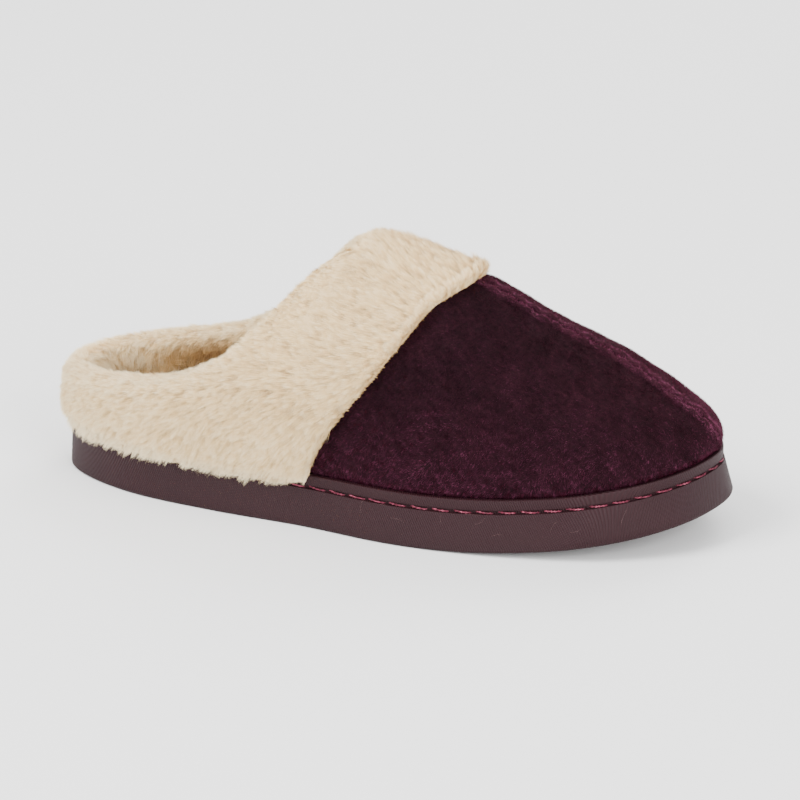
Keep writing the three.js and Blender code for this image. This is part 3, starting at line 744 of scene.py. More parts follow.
rise_share = column_curve(SECTIONS, 1)
section_power = column_curve(SECTIONS, 2)
last_plan = Plan(lambda x: lean_at(x) + UPPER_SET)


def end_round(distance, radius):
    return np.sqrt(1 - np.clip(1 - distance / radius, 0, 1) ** 2)


def section_at(x):
    """Middle, half width, level of the widest line, rise of the crest and exponent at x."""
    outer, inner = last_plan.sides(x)
    ends = end_round(last_plan.end - x, TOE_ROUND) * end_round(x - last_plan.start, HEEL_ROUND)
    half = np.maximum((inner - outer) / 2, 1e-6)
    rise = np.maximum(INSTEP_RISE * rise_share(x / LENGTH) * ends, 1e-6)
    return (outer + inner) / 2, half, lip_top_at(x) + TUCK_HEIGHT, rise, section_power(x / LENGTH)


def last_point(x, angle):
    """Point of the upper's form, at an angle from its outer side (0) to its inner side (pi)."""
    middle, half, base, rise, power = section_at(x)
    across = np.cos(angle)
    up = np.maximum(np.sin(angle), 0)
    size = (np.abs(across) ** power + up**power) ** (-1 / power)
    return np.stack([x + 0 * angle, middle - half * across * size, base + rise * up * size], -1)


def last_normal(x, angle):
    step = LENGTH * 1e-4
    back = np.maximum(x - step, last_plan.start + step / 10)
    front = np.minimum(x + step, last_plan.end - step / 10)
    along = last_point(front, angle) - last_point(back, angle)
    across = last_point(x, angle + 1e-3) - last_point(x, angle - 1e-3)
    normal = np.cross(along, across)
    return normal / np.linalg.norm(normal, axis=-1, keepdims=True)


def seam_reach(half):
    return np.minimum(SEAM_REACH, half / 4)


def seam_shift(half):
    return np.minimum(SEAM_SHIFT, half / 5)


def seam_relief(x, d):
    """Height of the seam's welts and valley at a distance d across it, with a pucker at each stitch."""
    side = np.sign(d)
    wander = 1.1 * np.sin(x / 9.7 + side) + 0.8 * np.sin(x / 4.3 + 2 * side)
    pucker = np.sin(2 * np.pi * (x + wander) / pucker_pitch + 0.9 * side)
    welt = SEAM_RIDGE * (1 + 0.6 * pucker) * np.exp(-(((np.abs(d) - 1.8 - 0.3 * pucker) / 1.15) ** 2))
    valley = SEAM_GROOVE * np.exp(-((d / (0.6 + 0.1 * pucker)) ** 2))
    return welt - valley


def soft_folds(points):
    """Slight unevenness of cloth over foam: long low swells that follow the foot."""
    x, y, z = points[..., 0], points[..., 1], points[..., 2]
    swell = np.sin(x / 13 + z / 9 + 1.2 * np.sin(y / 17)) + 0.7 * np.sin(x / 7.3 - z / 11 + y / 12 + 2)
    return 0.16 * swell * smooth_step((x - 0.4 * LENGTH) / 20)


def velour_push(x, angle, points):
    """How far the seam's relief and the swells of the cloth lift a point of the upper's form."""
    half = section_at(x)[1]
    distance = half * np.sin(angle - np.pi / 2) + seam_shift(half)
    fade = smooth_step((x / LENGTH - SEAM_START) / SEAM_FADE) * np.minimum(1, seam_reach(half) / SEAM_REACH)
    sides = smooth_step(angle * 4) * smooth_step((np.pi - angle) * 4)
    return fade * seam_relief(x, distance) + soft_folds(points) * sides


def last_body(name, offset, drop, seamed=False, station_count=60, side_columns=16, seam_columns=5):
    """A closed mesh of the upper's form, grown by an offset, down to a level over the sole's floor."""
    x = last_plan.stations(station_count)[1:-1][:, None]
    half = section_at(x)[1]
    reach, shift = seam_reach(half), seam_shift(half)
    across = np.linspace(-1, 1, seam_columns)[None, :]
    first = np.pi / 2 - np.arcsin((shift + reach) / half)
    last = np.pi / 2 + np.arcsin((reach - shift) / half)
    share = np.arange(side_columns)[None, :] / side_columns
    over_seam = np.pi / 2 + np.arcsin((across * reach - shift) / half)
    angle = np.hstack([first * share, over_seam, (np.pi - (np.pi - last) * share)[:, ::-1]])
    x = np.broadcast_to(x, angle.shape)
    points = last_point(x, angle)
    push = offset + (velour_push(x, angle, points) if seamed else 0 * angle)
    points = points + last_normal(x, angle) * push[..., None]
    heel = last_point(np.array([last_plan.start]), np.array([0.0])) - (offset, 0, 0)
    toe = last_point(np.array([last_plan.end]), np.array([0.0])) + (offset, 0, 0)
    rows, columns = angle.shape

    def at(j, i):
        return 1 + j * columns + i

    faces = [(0, at(0, i), at(0, i + 1)) for i in range(columns - 1)]
    for i in range(columns - 1):
        faces += [(at(j, i), at(j + 1, i), at(j + 1, i + 1), at(j, i + 1)) for j in range(rows - 1)]
    toe_index = 1 + rows * columns
    faces += [(at(rows - 1, i), toe_index, at(rows - 1, i + 1)) for i in range(columns - 1)]
    rim = [0, *(at(j, 0) for j in range(rows)), toe_index]
    rim += [at(j, columns - 1) for j in reversed(range(rows))]

    def inset(x):
        return lip_inner_inset_at(x) + GAP - offset

    skirt_top = ring(inset, lip_top_at, station_count)
    skirt_foot = ring(inset, lambda x: floor_at(x) + GAP - drop, station_count)
    count = len(rim)
    base_index = toe_index + 1
    for i in range(count):
        n = (i + 1) % count
        faces.append((base_index + i, base_index + n, rim[n], rim[i]))
        faces.append((base_index + count + i, base_index + count + n, base_index + n, base_index + i))
    faces += cap_faces(base_index + count, count, station_count, False)
    body = np.vstack([heel, points.reshape(-1, 3), toe, skirt_top, skirt_foot])
    return mesh_object(name, in_metres(body), faces)


collar_climb = COLLAR_INSTEP - COLLAR_HEEL
collar_line = smooth_line([(at * LENGTH, COLLAR_HEEL + collar_climb * climb) for at, climb in COLLAR], 24)
collar_end = collar_line[-1, 0]


def foot_opening():
    """All that lies over the collar edge, seen from the side."""
    tall = COLLAR_INSTEP + INSTEP_RISE
    behind = -LENGTH / 10
    shape = [(behind, collar_line[0, 1]), *map(tuple, collar_line), (collar_end, tall), (behind, tall)]
    side = len(shape)
    points = [(x, -BALL_WIDTH, z) for x, z in shape] + [(x, BALL_WIDTH, z) for x, z in shape]
    faces = [tuple(range(side)), tuple(range(side, 2 * side))[::-1]]
    faces += [(k, side + k, side + (k + 1) % side, (k + 1) % side) for k in range(side)]
    return mesh_object("opening_cutter", in_metres(points), faces)


upper = last_body("velour_upper", 0, 0, seamed=True, station_count=230, side_columns=44, seam_columns=31)
cut_away(upper, last_body("inside_cutter", -UPPER_WALL, 1))
cut_away(upper, foot_opening())
upper.data.shade_smooth()
upper.data.set_sharp_from_angle(angle=math.radians(60))


def read_vectors(items, field):
    """Vectors of the vertices or faces of a mesh, as rows."""
    values = np.empty(len(items) * 3)
    items.foreach_get(field, values)
    return values.reshape(-1, 3)


def painted_welt_highlight(points, welt, width, climb):
    """How much painted highlight lightens the welts beside the seam, where the turned nap catches the light,
    from 0 to 1.
    """
    middle, half, base, _, _ = section_at(points[:, 0])
    distance = np.abs(points[:, 1] - middle + seam_shift(half))
    turned = np.exp(-(((distance - welt) / width) ** 2)) * smooth_step((points[:, 2] - base) / climb)
    return turned * smooth_step((points[:, 0] / LENGTH - SEAM_START) / SEAM_FADE)


# Faces that look towards the foot are lining, and the welts near the seam carry a painted highlight
upper_mesh = upper.data
place = read_vectors(upper_mesh.vertices, "co") * 1000 - origin
nap = upper_mesh.attributes.new("welt_highlight", "FLOAT", "POINT")
nap.data.foreach_set("value", painted_welt_highlight(place, 1.7, 1.7, 8))
upper_mesh.materials.clear()
centres = read_vectors(upper_mesh.polygons, "center") * 1000 - origin
middle, _, base, _, _ = section_at(centres[:, 0])
outwards = np.column_stack([
    centres[:, 0] - np.clip(centres[:, 0], HEEL_ROUND, LENGTH - HEEL_ROUND),
    centres[:, 1] - middle,
    np.maximum(centres[:, 2] - base, 0),
])
inward = (outwards * read_vectors(upper_mesh.polygons, "normal")).sum(1) < 0
upper_mesh.polygons.foreach_set("material_index", inward.astype(np.int32))

velour, tree, shader = plain_material("wine_velour")
space = own_space(tree)
welt_highlight = tree.nodes.new("ShaderNodeAttribute")
welt_highlight.attribute_name = "welt_highlight"
tufted = place_group(tree, pile, space, {"Tuft Scale": 420, "Strand Scale": 1700})
mottle = noise(tree, space, 60.0, 5.0, 0.6)
# The velour's tone carries painted shade from the tufts and a painted highlight on the welts of the seam
tone = weighted(tree, (mottle, 0.3), (tufted["Shaded Tone"], 0.7), (welt_highlight.outputs["Fac"], 0.12))
velour_shades = [(0.36, (18, 5, 9)), (0.55, (34, 11, 19)), (0.72, (56, 22, 34)), (0.9, (92, 42, 58))]
colour_by(tree, shader, tone, velour_shades)
bump(tree, shader, tufted["Height"], 0.75, 0.0012)
set_finish(shader, 0.9, 0.1, sheen=0.12, sheen_roughness=0.35, sheen_tint=(150, 30, 70))
upper_mesh.materials.append(velour)
fleece_lining = plush_material("fleece_lining", (182, 140, 102), (226, 190, 150), 260.0, 1500.0, 0.0014)
upper_mesh.materials.append(fleece_lining)
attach(upper, "root")
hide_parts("upper")


def unit(v):
    return v / np.maximum(np.linalg.norm(v, axis=-1, keepdims=True), 1e-9)


def drift(points, span, seed):
    """A smooth irregular value from about -1 to 1 over a surface, with spots of about the given span."""
    chance = np.random.default_rng(seed)
    value = 0
    for turn in chance.normal(0, 1, (5, 3)):
        run = points @ (turn / np.linalg.norm(turn)) * 2 * np.pi / (span * chance.uniform(0.7, 1.6))
        value = value + np.sin(run + chance.uniform(0, 6))
    return value / 2.6


def blade_piece(name, root, tip, normal, shade_normal, width, tones, material, seed):
    """Fine tapered fibres as one joined mesh, each a narrow triangle."""
    chance = np.random.default_rng(seed)
    reach = np.linalg.norm(tip - root, axis=1)[:, None]
    across = unit(np.cross(tip - root, normal) + chance.normal(0, 0.3, root.shape) * reach)
    blade = across * (width / 2)
    count = len(root)
    left, right = unit(shade_normal - 0.4 * across), unit(shade_normal + 0.4 * across)
    points = np.stack([root - blade, root + blade, tip], 1)
    shades = np.stack([left, right, shade_normal], 1)
    mesh = bpy.data.meshes.new(name)
    mesh.vertices.add(count * 3)
    mesh.vertices.foreach_set("co", in_metres(points.reshape(-1, 3)).ravel())
    mesh.loops.add(count * 3)
    mesh.loops.foreach_set("vertex_index", np.arange(count * 3, dtype=np.int32))
    mesh.polygons.add(count)
    mesh.polygons.foreach_set("loop_start", np.arange(0, count * 3, 3, dtype=np.int32))
    mesh.update(calc_edges=True)
    mesh.shade_smooth()
    mesh.normals_split_custom_set_from_vertices(shades.reshape(-1, 3).tolist())
    # Fibres darken from tip to root: the darker root is painted shade deep in the pile
    low, high, spread = tones
    tone = np.array([[low, low, high]]) + spread[:, None]
    attribute = mesh.attributes.new("fibre_tone", "FLOAT", "POINT")
    attribute.data.foreach_set("value", tone.ravel())
    piece = bpy.data.objects.new(name, mesh)
    bpy.context.scene.collection.objects.link(piece)
    piece.data.materials.append(material)
    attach(piece, "root")
    return piece


def fibre_material(name, stops, gloss, sheen, sheen_tint):
    """Fibres coloured from root to tip and from one to the next, by the tone that each carries."""
    material, tree, shader = plain_material(name)
    fibre = tree.nodes.new("ShaderNodeAttribute")
    fibre.attribute_name = "fibre_tone"
    colour_by(tree, shader, fibre.outputs["Fac"], stops)
    set_finish(shader, 0.8, gloss, sheen, 0.4, sheen_tint)
    return material


def scatter(chance, count, weight, columns, shape):
    """Random places on a grid of points, evenly over the weight of its cells. Returns a function that
    blends a field of the grid at those places, and how many columns of cells lie before each."""
    flat = weight.ravel()
    cell = chance.choice(flat.size, count, p=flat / flat.sum())
    k, c = np.divmod(cell, len(columns))
    i = columns[c]
    s, t = chance.random((2, count, 1))
    k1, i1 = (k + 1) % shape[0], (i + 1) % shape[1]

    def blend(field):
        low = field[k, i] * (1 - s) + field[k1, i] * s
        high = field[k, i1] * (1 - s) + field[k1, i1] * s
        return low * (1 - t) + high * t

    return blend, c + t[:, 0]


# Nap of the velour: short fibres over all of the vamp that the cuff leaves bare
nap_fibres = 180000
nap_length = 1.35
nap_width = 0.17
# The nap starts along a slanting line a little under the front edge of the cuff
bare_from = 0.425
bare_slant = 0.66
under_cuff = 6
nap_shades = [(0.0, (14, 4, 8)), (0.4, (34, 13, 22)), (0.7, (62, 26, 42)), (1, (128, 66, 94))]
velour_nap = fibre_material("velour_nap", nap_shades, 0.05, 0.1, (160, 40, 80))
chance = np.random.default_rng(5)
grid_x = last_plan.stations(320)[2:-1]
grid_x = grid_x[grid_x > 0.4 * LENGTH][:, None] + np.zeros((1, 240))
grid_angle = np.linspace(0, np.pi, 240)[None, :] + 0 * grid_x
form = last_point(grid_x, grid_angle)
form = form + last_normal(grid_x, grid_angle) * velour_push(grid_x, grid_angle, form)[..., None]
tuck_rows = 5
tuck = np.linspace(1, 0, tuck_rows + 1)[None, :-1]
tuck_x = grid_x[:, :tuck_rows]
tuck_plan = Plan(lambda x: lip_inner_inset_at(x) + GAP)
tuck_sides = tuck_plan.sides(np.clip(tuck_x, tuck_plan.start, tuck_plan.end))
tucked = []
for tuck_y, edge in zip(tuck_sides, (form[:, :1], form[:, -1:])):
    low_y = edge[..., 1] + (tuck_y - edge[..., 1]) * tuck
    tucked.append(np.stack([tuck_x, low_y, edge[..., 2] - TUCK_HEIGHT * tuck], -1))
form = np.concatenate([tucked[0], form, tucked[1][:, ::-1]], 1)
form_normal = unit(np.cross(np.gradient(form, axis=0), np.gradient(form, axis=1)))
wide = np.linalg.norm(np.diff(form, axis=0), axis=2)[:, :-1]
tall = np.linalg.norm(np.diff(form, axis=1), axis=2)[:-1]
bare = form[:-1, :-1, 0] > bare_from * LENGTH + (form[:-1, :-1, 2] - SOLE_HEIGHT) * bare_slant - under_cuff
on_form, _ = scatter(chance, nap_fibres, wide * tall * bare, np.arange(form.shape[1] - 1), form.shape)
root, normal = on_form(form), unit(on_form(form_normal))
swing = -0.9 + 0.55 * drift(root, 26, 1) + 0.35 * drift(root, 7, 2) + chance.normal(0, 0.35, nap_fibres)
flow = np.column_stack([-np.cos(swing), 0 * swing, np.sin(swing)])
flow = unit(flow - normal * (flow * normal).sum(1)[:, None])
lift = np.clip(0.75 + 0.2 * drift(root, 9, 3) + chance.normal(0, 0.15, nap_fibres), 0.2, 1.4)[:, None]
size = nap_length * chance.uniform(0.7, 1.15, (nap_fibres, 1))
tip = root + size * (np.cos(lift) * flow + np.sin(lift) * normal)
# The nap is painted lighter towards the bottom of the vamp, as painted light from the front, and on the welts
# of the seam, as a painted highlight
lower_vamp_light = 1 - smooth_step((root[:, 2] - lip_top_at(root[:, 0])) / 44)
spread = chance.normal(0, 0.1, nap_fibres) + 0.03 * drift(root, 16, 4) + 0.09 * drift(root, 1.9, 7)
spread = spread + 0.24 * lower_vamp_light + 0.42 * painted_welt_highlight(root, 1.9, 1.5, 6)
ruffle = np.column_stack([drift(root, 2.3, 8), drift(root, 2.1, 9), drift(root, 2.5, 10)])
shade = unit(normal + 0.45 * flow + 0.45 * ruffle + chance.normal(0, 0.2, root.shape))
root = root - 0.15 * normal
# Darker at the root than at the tip: painted shade down in the nap
tones = (0.12, 0.6, spread)
blade_piece("velour_nap", root, tip, normal, shade, nap_width, tones, velour_nap, 6)

# Fur cuff
# A broad band of cream faux fur, folded over the collar. Its knitted back is sewn to the upper inside and
# out, and its pile lies back towards the heel in soft clumps, hangs over the lip and ends square in front.

CUFF_CREST = 0.635
CUFF_CORNER = 0.425
HEEL_CENTRE = 0.138
PILE = 7.5
HEEL_PILE = 5.8
EDGE_PILE = 4.5
TOP_PILE = 8
INNER_PILE = 6
INNER_DEPTH = 20
HANG = 4.2
HEM_PILE = 1.6
HEM_BULGE = 0.85

# Share of the pile's depth that the backing fills, and the numbers of ribs that its mesh hangs on
backing = 0.58
fan_ribs = 64
side_ribs = 28

# Front edge of the cuff from the side: climb from the sole to the crest, and how far forward
CUFF_EDGE = [
    (0, 0),
    (0.23, 0.138),
    (0.417, 0.321),
    (0.581, 0.48),
    (0.77, 0.655),
    (0.906, 0.79),
    (1, 1),
]

cuff_corner = CUFF_CORNER * LENGTH
cuff_crest = CUFF_CREST * LENGTH
cuff_foot = float(lip_top_at(cuff_corner))
cuff_top = float(last_point(np.array([cuff_crest]), np.array([math.pi / 2]))[0, 2])
cuff_size = np.array([cuff_top - cuff_foot, cuff_crest - cuff_corner])
cuff_edge = smooth_line(np.array(CUFF_EDGE) * cuff_size + (cuff_foot, cuff_corner), 32)


def inside_last(points):
    x, y, z = points[..., 0], points[..., 1], points[..., 2]
    middle, half, base, rise, power = section_at(np.clip(x, last_plan.start, last_plan.end))
    field = (np.abs(y - middle) / half) ** power + (np.abs(z - base) / rise) ** power
    return (field < 1) & (x > last_plan.start) & (x < last_plan.end)


def bisect(low, high, is_low):
    a, b = np.array(low, float), np.array(high, float)
    for _ in range(30):
        middle = (a + b) / 2
        keep = is_low(middle)
        a, b = np.where(keep, middle, a), np.where(keep, b, middle)
    return a


# Ribs fan out from one centre under the front edge and one in the heel, with straight sides between
heel_centre = HEEL_CENTRE * LENGTH
front_turns = np.linspace(-math.pi / 2, math.pi / 2, fan_ribs + 1)
side_shares = np.arange(1, side_ribs) / side_ribs
rib_x = np.concatenate([
    np.full(fan_ribs + 1, cuff_corner),
    cuff_corner + (heel_centre - cuff_corner) * side_shares,
    np.full(fan_ribs + 1, heel_centre),
    heel_centre + (cuff_corner - heel_centre) * side_shares,
])
rib_turn = np.concatenate([
    front_turns,
    np.full(side_ribs - 1, math.pi / 2),
    front_turns + math.pi,
    np.full(side_ribs - 1, -math.pi / 2),
])
rib_count = len(rib_x)
number = np.arange(rib_count)
on_sole = (number == 0) | (number >= fan_ribs)
rib_middle = section_at(rib_x)[0]
rib_base = lip_top_at(rib_x) + TUCK_HEIGHT
rib_out = np.column_stack([np.cos(rib_turn), np.sin(rib_turn), 0 * rib_turn])
rib_centre = np.column_stack([rib_x, rib_middle, rib_base])


def rib_point(distance, height):
    level = np.column_stack([0 * rib_x, 0 * rib_x, height + 0 * rib_x])
    return rib_centre + rib_out * np.asarray(distance)[:, None] + level


def rib_polar(radius, tilt):
    return rib_point(radius * np.cos(tilt), radius * np.sin(tilt))


def rib_radius(tilt):
    return bisect(0 * tilt, LENGTH + 0 * tilt, lambda radius: inside_last(rib_polar(radius, tilt)))


def under_collar(tilt):
    point = rib_polar(rib_radius(tilt), tilt)
    collar_height = np.interp(point[:, 0], collar_line[:, 0], collar_line[:, 1])
    return (point[:, 0] > collar_end) | (point[:, 2] < collar_height)


def before_edge(tilt):
    point = rib_polar(rib_radius(tilt), tilt)
    return point[:, 0] > np.interp(point[:, 2], cuff_edge[:, 0], cuff_edge[:, 1])


collar_tilt = bisect(0 * rib_x, math.pi / 2 + 0 * rib_x, under_collar)
lower_tilt = np.where(on_sole, 0, bisect(0 * rib_x, collar_tilt, before_edge))


def pile_at(x):
    return HEEL_PILE + (PILE - HEEL_PILE) * smooth_step(3 * x / LENGTH)


def cuff_rows(share):
    """Rows of points round the cuff, with the pile at a share of its depth, and the zone of each row."""
    full = pile_at(rib_polar(rib_radius(collar_tilt), collar_tilt)[:, 0]) * share
    corner = np.minimum(number, np.minimum(np.abs(number - fan_ribs), rib_count - number)) / 5
    hang = HANG * (0.6 + 0.4 * smooth_step(corner))
    edge_pile = EDGE_PILE * share
    edge = rib_radius(lower_tilt)
    full_pile = pile_at(rib_polar(edge, lower_tilt)[:, 0]) * share
    side_pile = edge_pile + (full_pile - edge_pile) * smooth_step(corner)
    side_pile = np.where(on_sole, side_pile, edge_pile)
    lip = edge + UPPER_SET - LIP_STEP
    rows, zones = [], []

    def add(zone, sole_row, front_row):
        rows.append(np.where(on_sole[:, None], sole_row, front_row))
        zones.append(zone)

    def round_edge(out, back):
        return rib_polar(edge + out * edge_pile, lower_tilt + back * edge_pile / edge)

    add("hem", rib_point(lip + 0.7 * HEM_PILE, -TUCK_HEIGHT - hang), round_edge(0.35, 0))
    add("hem", rib_point(lip + HEM_PILE, -TUCK_HEIGHT), round_edge(0.8, 0.25))
    add("outside", rib_point(edge + HEM_BULGE * side_pile, 0 * rib_x), round_edge(1, 0.8))
    for t in np.linspace(0, 1, 25)[1:]:
        tilt = lower_tilt + (collar_tilt - lower_tilt) * t
        start = np.where(on_sole, side_pile, edge_pile)
        depth = start + (side_pile + (full - side_pile) * t - start) * smooth_step(2 * t)
        row = rib_polar(rib_radius(tilt) + depth, tilt)
        add("outside", row, row)
    radius = rib_radius(collar_tilt)
    inner = UPPER_WALL + INNER_PILE * share
    for t in np.linspace(0, 1, 15)[1:]:
        turn = math.pi * t
        deep = (full - inner) / 2 + (full + inner) / 2 * math.cos(turn)
        climb = TOP_PILE * (0.35 + 0.65 * share) * math.sin(turn)
        row = rib_point(
            (radius + deep) * np.cos(collar_tilt) - climb * np.sin(collar_tilt),
            (radius + deep) * np.sin(collar_tilt) + climb * np.cos(collar_tilt),
        )
        add("roll", row, row)
    inner_tilt = np.maximum(collar_tilt - INNER_DEPTH / radius, 0)
    for t in np.linspace(0, 1, 9)[1:]:
        tilt = collar_tilt + (inner_tilt - collar_tilt) * t
        row = rib_polar(rib_radius(tilt) - inner, tilt)
        add("inside", row, row)
    row = rib_polar(rib_radius(inner_tilt) - UPPER_WALL / 2, inner_tilt)
    add("back", row, row)
    for t in np.linspace(0, 1, 9)[1:]:
        tilt = inner_tilt + (lower_tilt - inner_tilt) * t
        row = rib_polar(rib_radius(tilt) - UPPER_WALL / 2, tilt)
        add("back", row, row)
    sole_row = rib_point(rib_radius(0 * rib_x) - UPPER_WALL, -TUCK_HEIGHT - hang)
    add("back", sole_row, rib_polar(edge - UPPER_WALL / 4, lower_tilt))
    return np.stack(rows, 1), zones


cuff_points, cuff_zones = cuff_rows(backing)
row_count = cuff_points.shape[1]
faces = []
for k in range(rib_count):
    n = (k + 1) % rib_count
    for i in range(row_count):
        j = (i + 1) % row_count
        faces.append((k * row_count + i, n * row_count + i, n * row_count + j, k * row_count + j))
cuff = mesh_object("fur_backing", in_metres(cuff_points.reshape(-1, 3)), faces)
upper_cutter = last_body("upper_cutter", GAP, GAP, station_count=90, side_columns=20, seam_columns=9)
cut_away(upper_cutter, last_body("inside_cutter", -UPPER_WALL - GAP, 1 + GAP))
cut_away(upper_cutter, foot_opening())
cut_away(cuff, upper_cutter)
lip_rings = [
    ring(lambda x: 0 * x - GAP, lambda x: 0 * x, 60),
    ring(lambda x: 0 * x - GAP, foot_at, 60),
    ring(lambda x: lean_at(x) - GAP, lambda x: wall_top_at(x) + GAP, 60),
    ring(lambda x: lip_inset_at(x) - GAP, lambda x: wall_top_at(x) + GROOVE_HEIGHT, 60),
    ring(lambda x: lip_inset_at(x) - GAP, lambda x: lip_top_at(x) + GAP, 60),
]
cut_away(cuff, stack("lip_cutter", lip_rings, 60))
cuff.data.shade_smooth()
cuff.data.set_sharp_from_angle(angle=math.radians(60))
cuff.data.materials.clear()
fur_backing = plush_material("fur_backing", (212, 180, 136), (246, 224, 186), 260.0, 1700.0, 0.0012)
cuff.data.materials.append(fur_backing)
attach(cuff, "root")
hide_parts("cuff")

# Normals and directions on the rows of the cuff, for rooting its pile
along_ribs = np.roll(cuff_points, -1, 0) - np.roll(cuff_points, 1, 0)
up_rows = unit(np.roll(cuff_points, -1, 1) - np.roll(cuff_points, 1, 1))
cuff_normals = unit(np.cross(along_ribs, up_rows))

fur_shades = [(0.0, (146, 114, 78)), (0.35, (206, 170, 120)), (0.7, (243, 209, 150)), (1, (255, 237, 196))]
cream_fur = fibre_material("cream_fur", fur_shades, 0.15, 0.15, (255, 240, 215))
strand_width = 0.19
# Strands darken towards their roots: painted shade deep in the pile
root_shade_tone, tip_tone = 0.26, 0.98
# How much darker some clumps are: painted shadow in the gaps between locks
gap_shadow = 0.36
# Degrees from level: the nap falls at the sole, and turns upwards from there to the crest
nap_at_sole, nap_turn = -48, 75


def fur_piece(name, seed, roots, normals, flow, length, lift, spread, pull, paler, gap_shadow_share, per_clump):
    """A stretch of the pile, as clumps whose strands lean to one tip, a share of them darker as painted
    shadow between locks, and the strands at a clump's sides darker as painted shade.
    """
    chance = np.random.default_rng(seed)
    clumps = len(roots)
    flow = unit(flow - normals * (flow * normals).sum(1)[:, None])
    side = np.cross(normals, flow)
    shape = (clumps, per_clump, 1)
    n, f, s = normals[:, None, :], flow[:, None, :], side[:, None, :]
    across = chance.normal(0, spread, shape)
    root = roots[:, None, :] + chance.normal(0, spread, shape) * f + across * s
    size = length[:, None, None] * chance.uniform(0.7, 1.1, shape)
    rise = lift[:, None, None] + chance.normal(0, 0.12, shape)
    heading = unit(f + chance.normal(0, 0.22, shape) * s)
    tip = root + size * (np.cos(rise) * heading + np.sin(rise) * n)
    clump_way = np.cos(lift)[:, None] * flow + np.sin(lift)[:, None] * normals
    clump_tip = (roots + length[:, None] * clump_way)[:, None, :]
    tip = tip + (clump_tip - tip) * np.clip(pull * chance.uniform(0.5, 1.2, shape), 0, 1)
    normal = np.broadcast_to(n, root.shape).reshape(-1, 3)
    shade = unit(normal + 0.25 * np.broadcast_to(f, root.shape).reshape(-1, 3))
    # Painted shadow and shade: some clumps darker for the gaps between locks, strands at a clump's sides
    # darker
    tone = chance.normal(0, 0.07, (clumps, 1))
    tone = tone - gap_shadow * (chance.random((clumps, 1)) < np.reshape(gap_shadow_share, (-1, 1)))
    tone = tone + chance.normal(0, 0.07, (clumps, per_clump)) - 0.1 * np.abs(across[..., 0]) / spread
    tone = (tone + np.asarray(paler)[..., None]).ravel()
    root = root.reshape(-1, 3) - 0.3 * normal
    tip = tip.reshape(-1, 3)
    tones = (root_shade_tone, tip_tone, tone)
    return blade_piece(name, root, tip, normal, shade, strand_width, tones, cream_fur, seed + 1)


def rooted(zone, ribs, count, seed):
    """Random places on a zone of the cuff and some of its ribs, evenly over its area, with their normals,
    the direction across the rows and the share of the way across the zone."""
    chance = np.random.default_rng(seed)
    chosen = [i for i, name in enumerate(cuff_zones) if name == zone]
    a = cuff_points[:, chosen]
    wide = np.linalg.norm(np.roll(a, -1, 0) - a, axis=2)
    tall = np.linalg.norm(cuff_points[:, [(i + 1) % row_count for i in chosen]] - a, axis=2)
    weight = wide * tall * ribs[:, None]
    blend, before = scatter(chance, count, weight, np.array(chosen), cuff_points.shape)
    share = before / len(chosen)
    return blend(cuff_points), unit(blend(cuff_normals)), unit(blend(up_rows)), share, chance


def nap_of(points, up, share, chance):
    """Direction of the nap: back and down near the sole, level in the middle, back and up at the crest,
    and along the rim as the share of the way up to it grows."""
    height = (points[:, 2] - SOLE_HEIGHT) / 80
    swing = np.radians(nap_at_sole + nap_turn * smooth_step(height * 1.05)) + 0.25 * drift(points, 18, 9)
    swing = swing + chance.normal(0, 0.16, len(points))
    nap = np.column_stack([-np.cos(swing), 0.0 * swing, np.sin(swing)])
    towards = np.maximum((nap * up).sum(1), 0)
    over_rim = towards * smooth_step((share - 0.55) / 0.4) * smooth_step((0.95 - towards) / 0.3)
    return nap - up * over_rim[:, None]


every_rib = np.ones(rib_count)
front_ribs = ((number > 0) & (number < fan_ribs)).astype(float)
for part in range(2):
    roots, normals, up, share, chance = rooted("outside", every_rib, count=6750, seed=20 + part)
    nap = nap_of(roots, up, share, chance)
    x, z = roots[:, 0], roots[:, 2]
    near_crest = smooth_step((share - 0.68) / 0.22) * smooth_step((x - 86) / 12) * smooth_step((124 - x) / 8)
    length = np.interp(x, [0, 60, 200], [5.6, 7.0, 7.0]) * (1 - 0.25 * smooth_step((share - 0.7) / 0.3))
    length = length * (1 - 0.45 * near_crest)
    lift = 0.38 - 0.24 * near_crest + chance.normal(0, 0.1, len(roots))
    paler = np.interp(z, [20, 45], [0.07, 0]) + np.interp(x, [10, 60], [0.05, 0])
    # Near the rim the strands are made paler: painted light where the rim falls in shade
    paler = paler + 0.1 * smooth_step((share - 0.8) / 0.2)
    # On the middle of the outer side, away from the rim, more clumps are darkened as painted shadow between
    # locks
    dark = 0.1 * smooth_step((z - 32) / 14) * smooth_step((x - 40) / 30)
    dark = dark * (1 - smooth_step((share - 0.6) / 0.3))
    fur_piece(
        f"fur_outside_{part + 1}", 30 + part, roots, normals, nap, length, lift,
        spread=0.75, pull=0.72, paler=paler, gap_shadow_share=0.03 + dark, per_clump=28,
    )


def heel_share(points):
    """How near the points are to the heel, where the pile inside the rim is longest and palest."""
    return smooth_step((45 - points[:, 0]) / 25)


roots, normals, up, share, chance = rooted("roll", every_rib, count=4800, seed=41)
over = smooth_step((share - 0.2) * 1.2)[:, None]
roll_flow = nap_of(roots, up, 1, chance) * (1 - over) + up * over + chance.normal(0, 0.15, (len(roots), 3))
crest = smooth_step((roots[:, 0] - collar_end + 22) / 12)
length = (4.0 + 4 * heel_share(roots) * smooth_step((share - 0.45) / 0.3)) * (1 - 0.3 * crest)
lift = 0.38 + chance.normal(0, 0.1, len(roots))
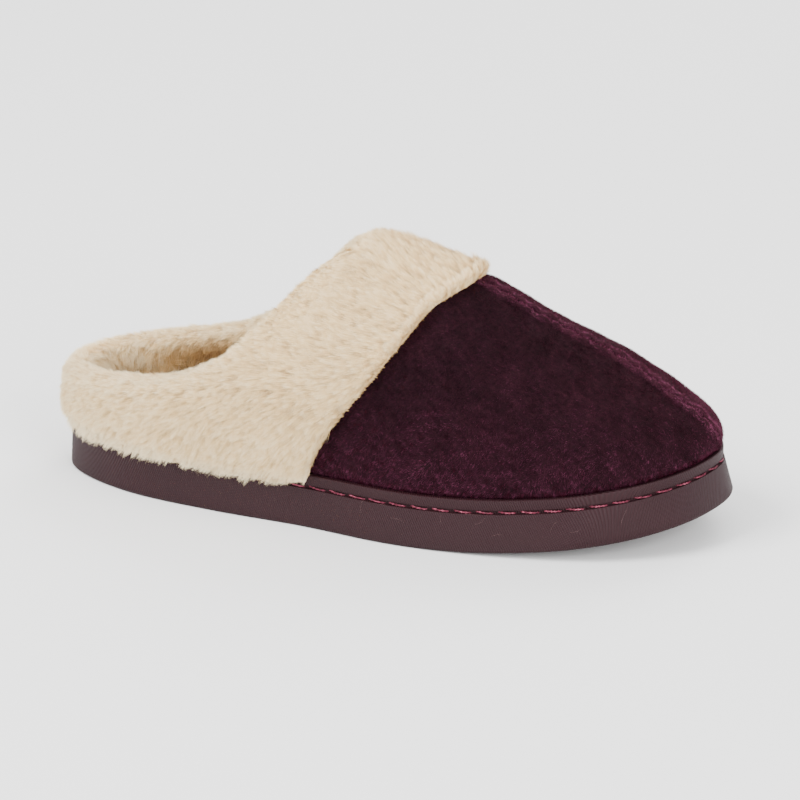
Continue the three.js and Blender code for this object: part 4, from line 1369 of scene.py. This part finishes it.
# The roll is made paler, less at the crest: painted light on pile that the opening shades. Over its inner
# half, away from the heel and the crest, it is darker tan
inner_half_tan = smooth_step((share - 0.52) / 0.25) * (1 - heel_share(roots)) * (1 - crest)
paler = 0.2 - 0.06 * crest - 0.65 * inner_half_tan
fur_piece(
    "fur_roll", 42, roots, normals, roll_flow, length, lift,
    spread=0.8, pull=0.45, paler=paler, gap_shadow_share=0.01 * (1 - crest), per_clump=26,
)

roots, normals, up, share, chance = rooted("inside", every_rib, count=2700, seed=51)
curl = chance.normal(0, 0.4, (len(roots), 3))
length = 4.2 + 4 * heel_share(roots)
lift = 0.65 + chance.normal(0, 0.15, len(roots))
paler = 0.5 * heel_share(roots) - 0.48
fur_piece(
    "fur_inside", 52, roots, normals, up * 0.7 + curl, length, lift,
    spread=0.75, pull=0.45, paler=paler, gap_shadow_share=0.08, per_clump=26,
)

# Along its front edge the pile is short and turns round the fold of the knit
roots, normals, up, share, chance = rooted("hem", front_ribs, count=1500, seed=71)
edge_flow = nap_of(roots, up, 0 * share, chance) + up * (1.1 - 0.8 * share)[:, None]
length = chance.uniform(3.2, 4.8, len(roots))
lift = 0.4 + chance.normal(0, 0.08, len(roots))
# The edge's strands are made paler than the rest: painted light on the shaded side of the edge
fur_piece(
    "fur_edge", 72, roots, normals, edge_flow, length, lift,
    spread=0.65, pull=0.55, paler=0.15, gap_shadow_share=0.02, per_clump=26,
)

# Along the sole it hangs in ragged points over the lip, shorter towards the front corner
roots, normals, up, share, chance = rooted("hem", 1 - front_ribs, count=1900, seed=61)
hang_down = np.array([-0.6, 0, -0.8]) + chance.normal(0, 0.12, (len(roots), 3))
length = chance.uniform(3.4, 8.4, len(roots)) * (0.5 + 0.5 * smooth_step((cuff_corner - roots[:, 0]) / 14))
lift = 0.2 + chance.normal(0, 0.1, len(roots))
fur_piece(
    "fur_fringe", 62, roots, normals, hang_down, length, lift,
    spread=0.6, pull=0.85, paler=0.44, gap_shadow_share=0, per_clump=22,
)

# A few shed hairs cling to the wall of the sole
hair_radius = 0.014
hair_count = 10
chance = np.random.default_rng(81)
hairs = []
for _ in range(hair_count):
    start, turn = chance.uniform(0.5, 0.92) * LENGTH, chance.uniform(-0.6, 2.2)
    bend = chance.uniform(-0.1, 0.1)
    heading = turn + bend * np.arange(14)
    step = chance.uniform(0.25, 0.5)
    x = start + np.cumsum(np.cos(heading)) * step
    z = lip_top_at(start) * chance.uniform(0.35, 0.85) + np.cumsum(np.sin(heading)) * step
    z = np.clip(z, foot_at(x), wall_top_at(x))
    share = (z - foot_at(x)) / (wall_top_at(x) - foot_at(x))
    y = Plan(lambda x: 0 * x).sides(x)[0] + lean_at(x) * share - 0.08
    hairs.append(np.column_stack([x, y, z]))
shed_hairs = threads("shed_hairs", hairs, hair_radius, 4)
lint, _, lint_shader = plain_material("shed_hair")
lint_shader.inputs["Base Color"].default_value = (*linear(124, 94, 92), 1)
set_finish(lint_shader, 0.5, 0.5)
shed_hairs.data.materials.append(lint)
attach(shed_hairs, "root")
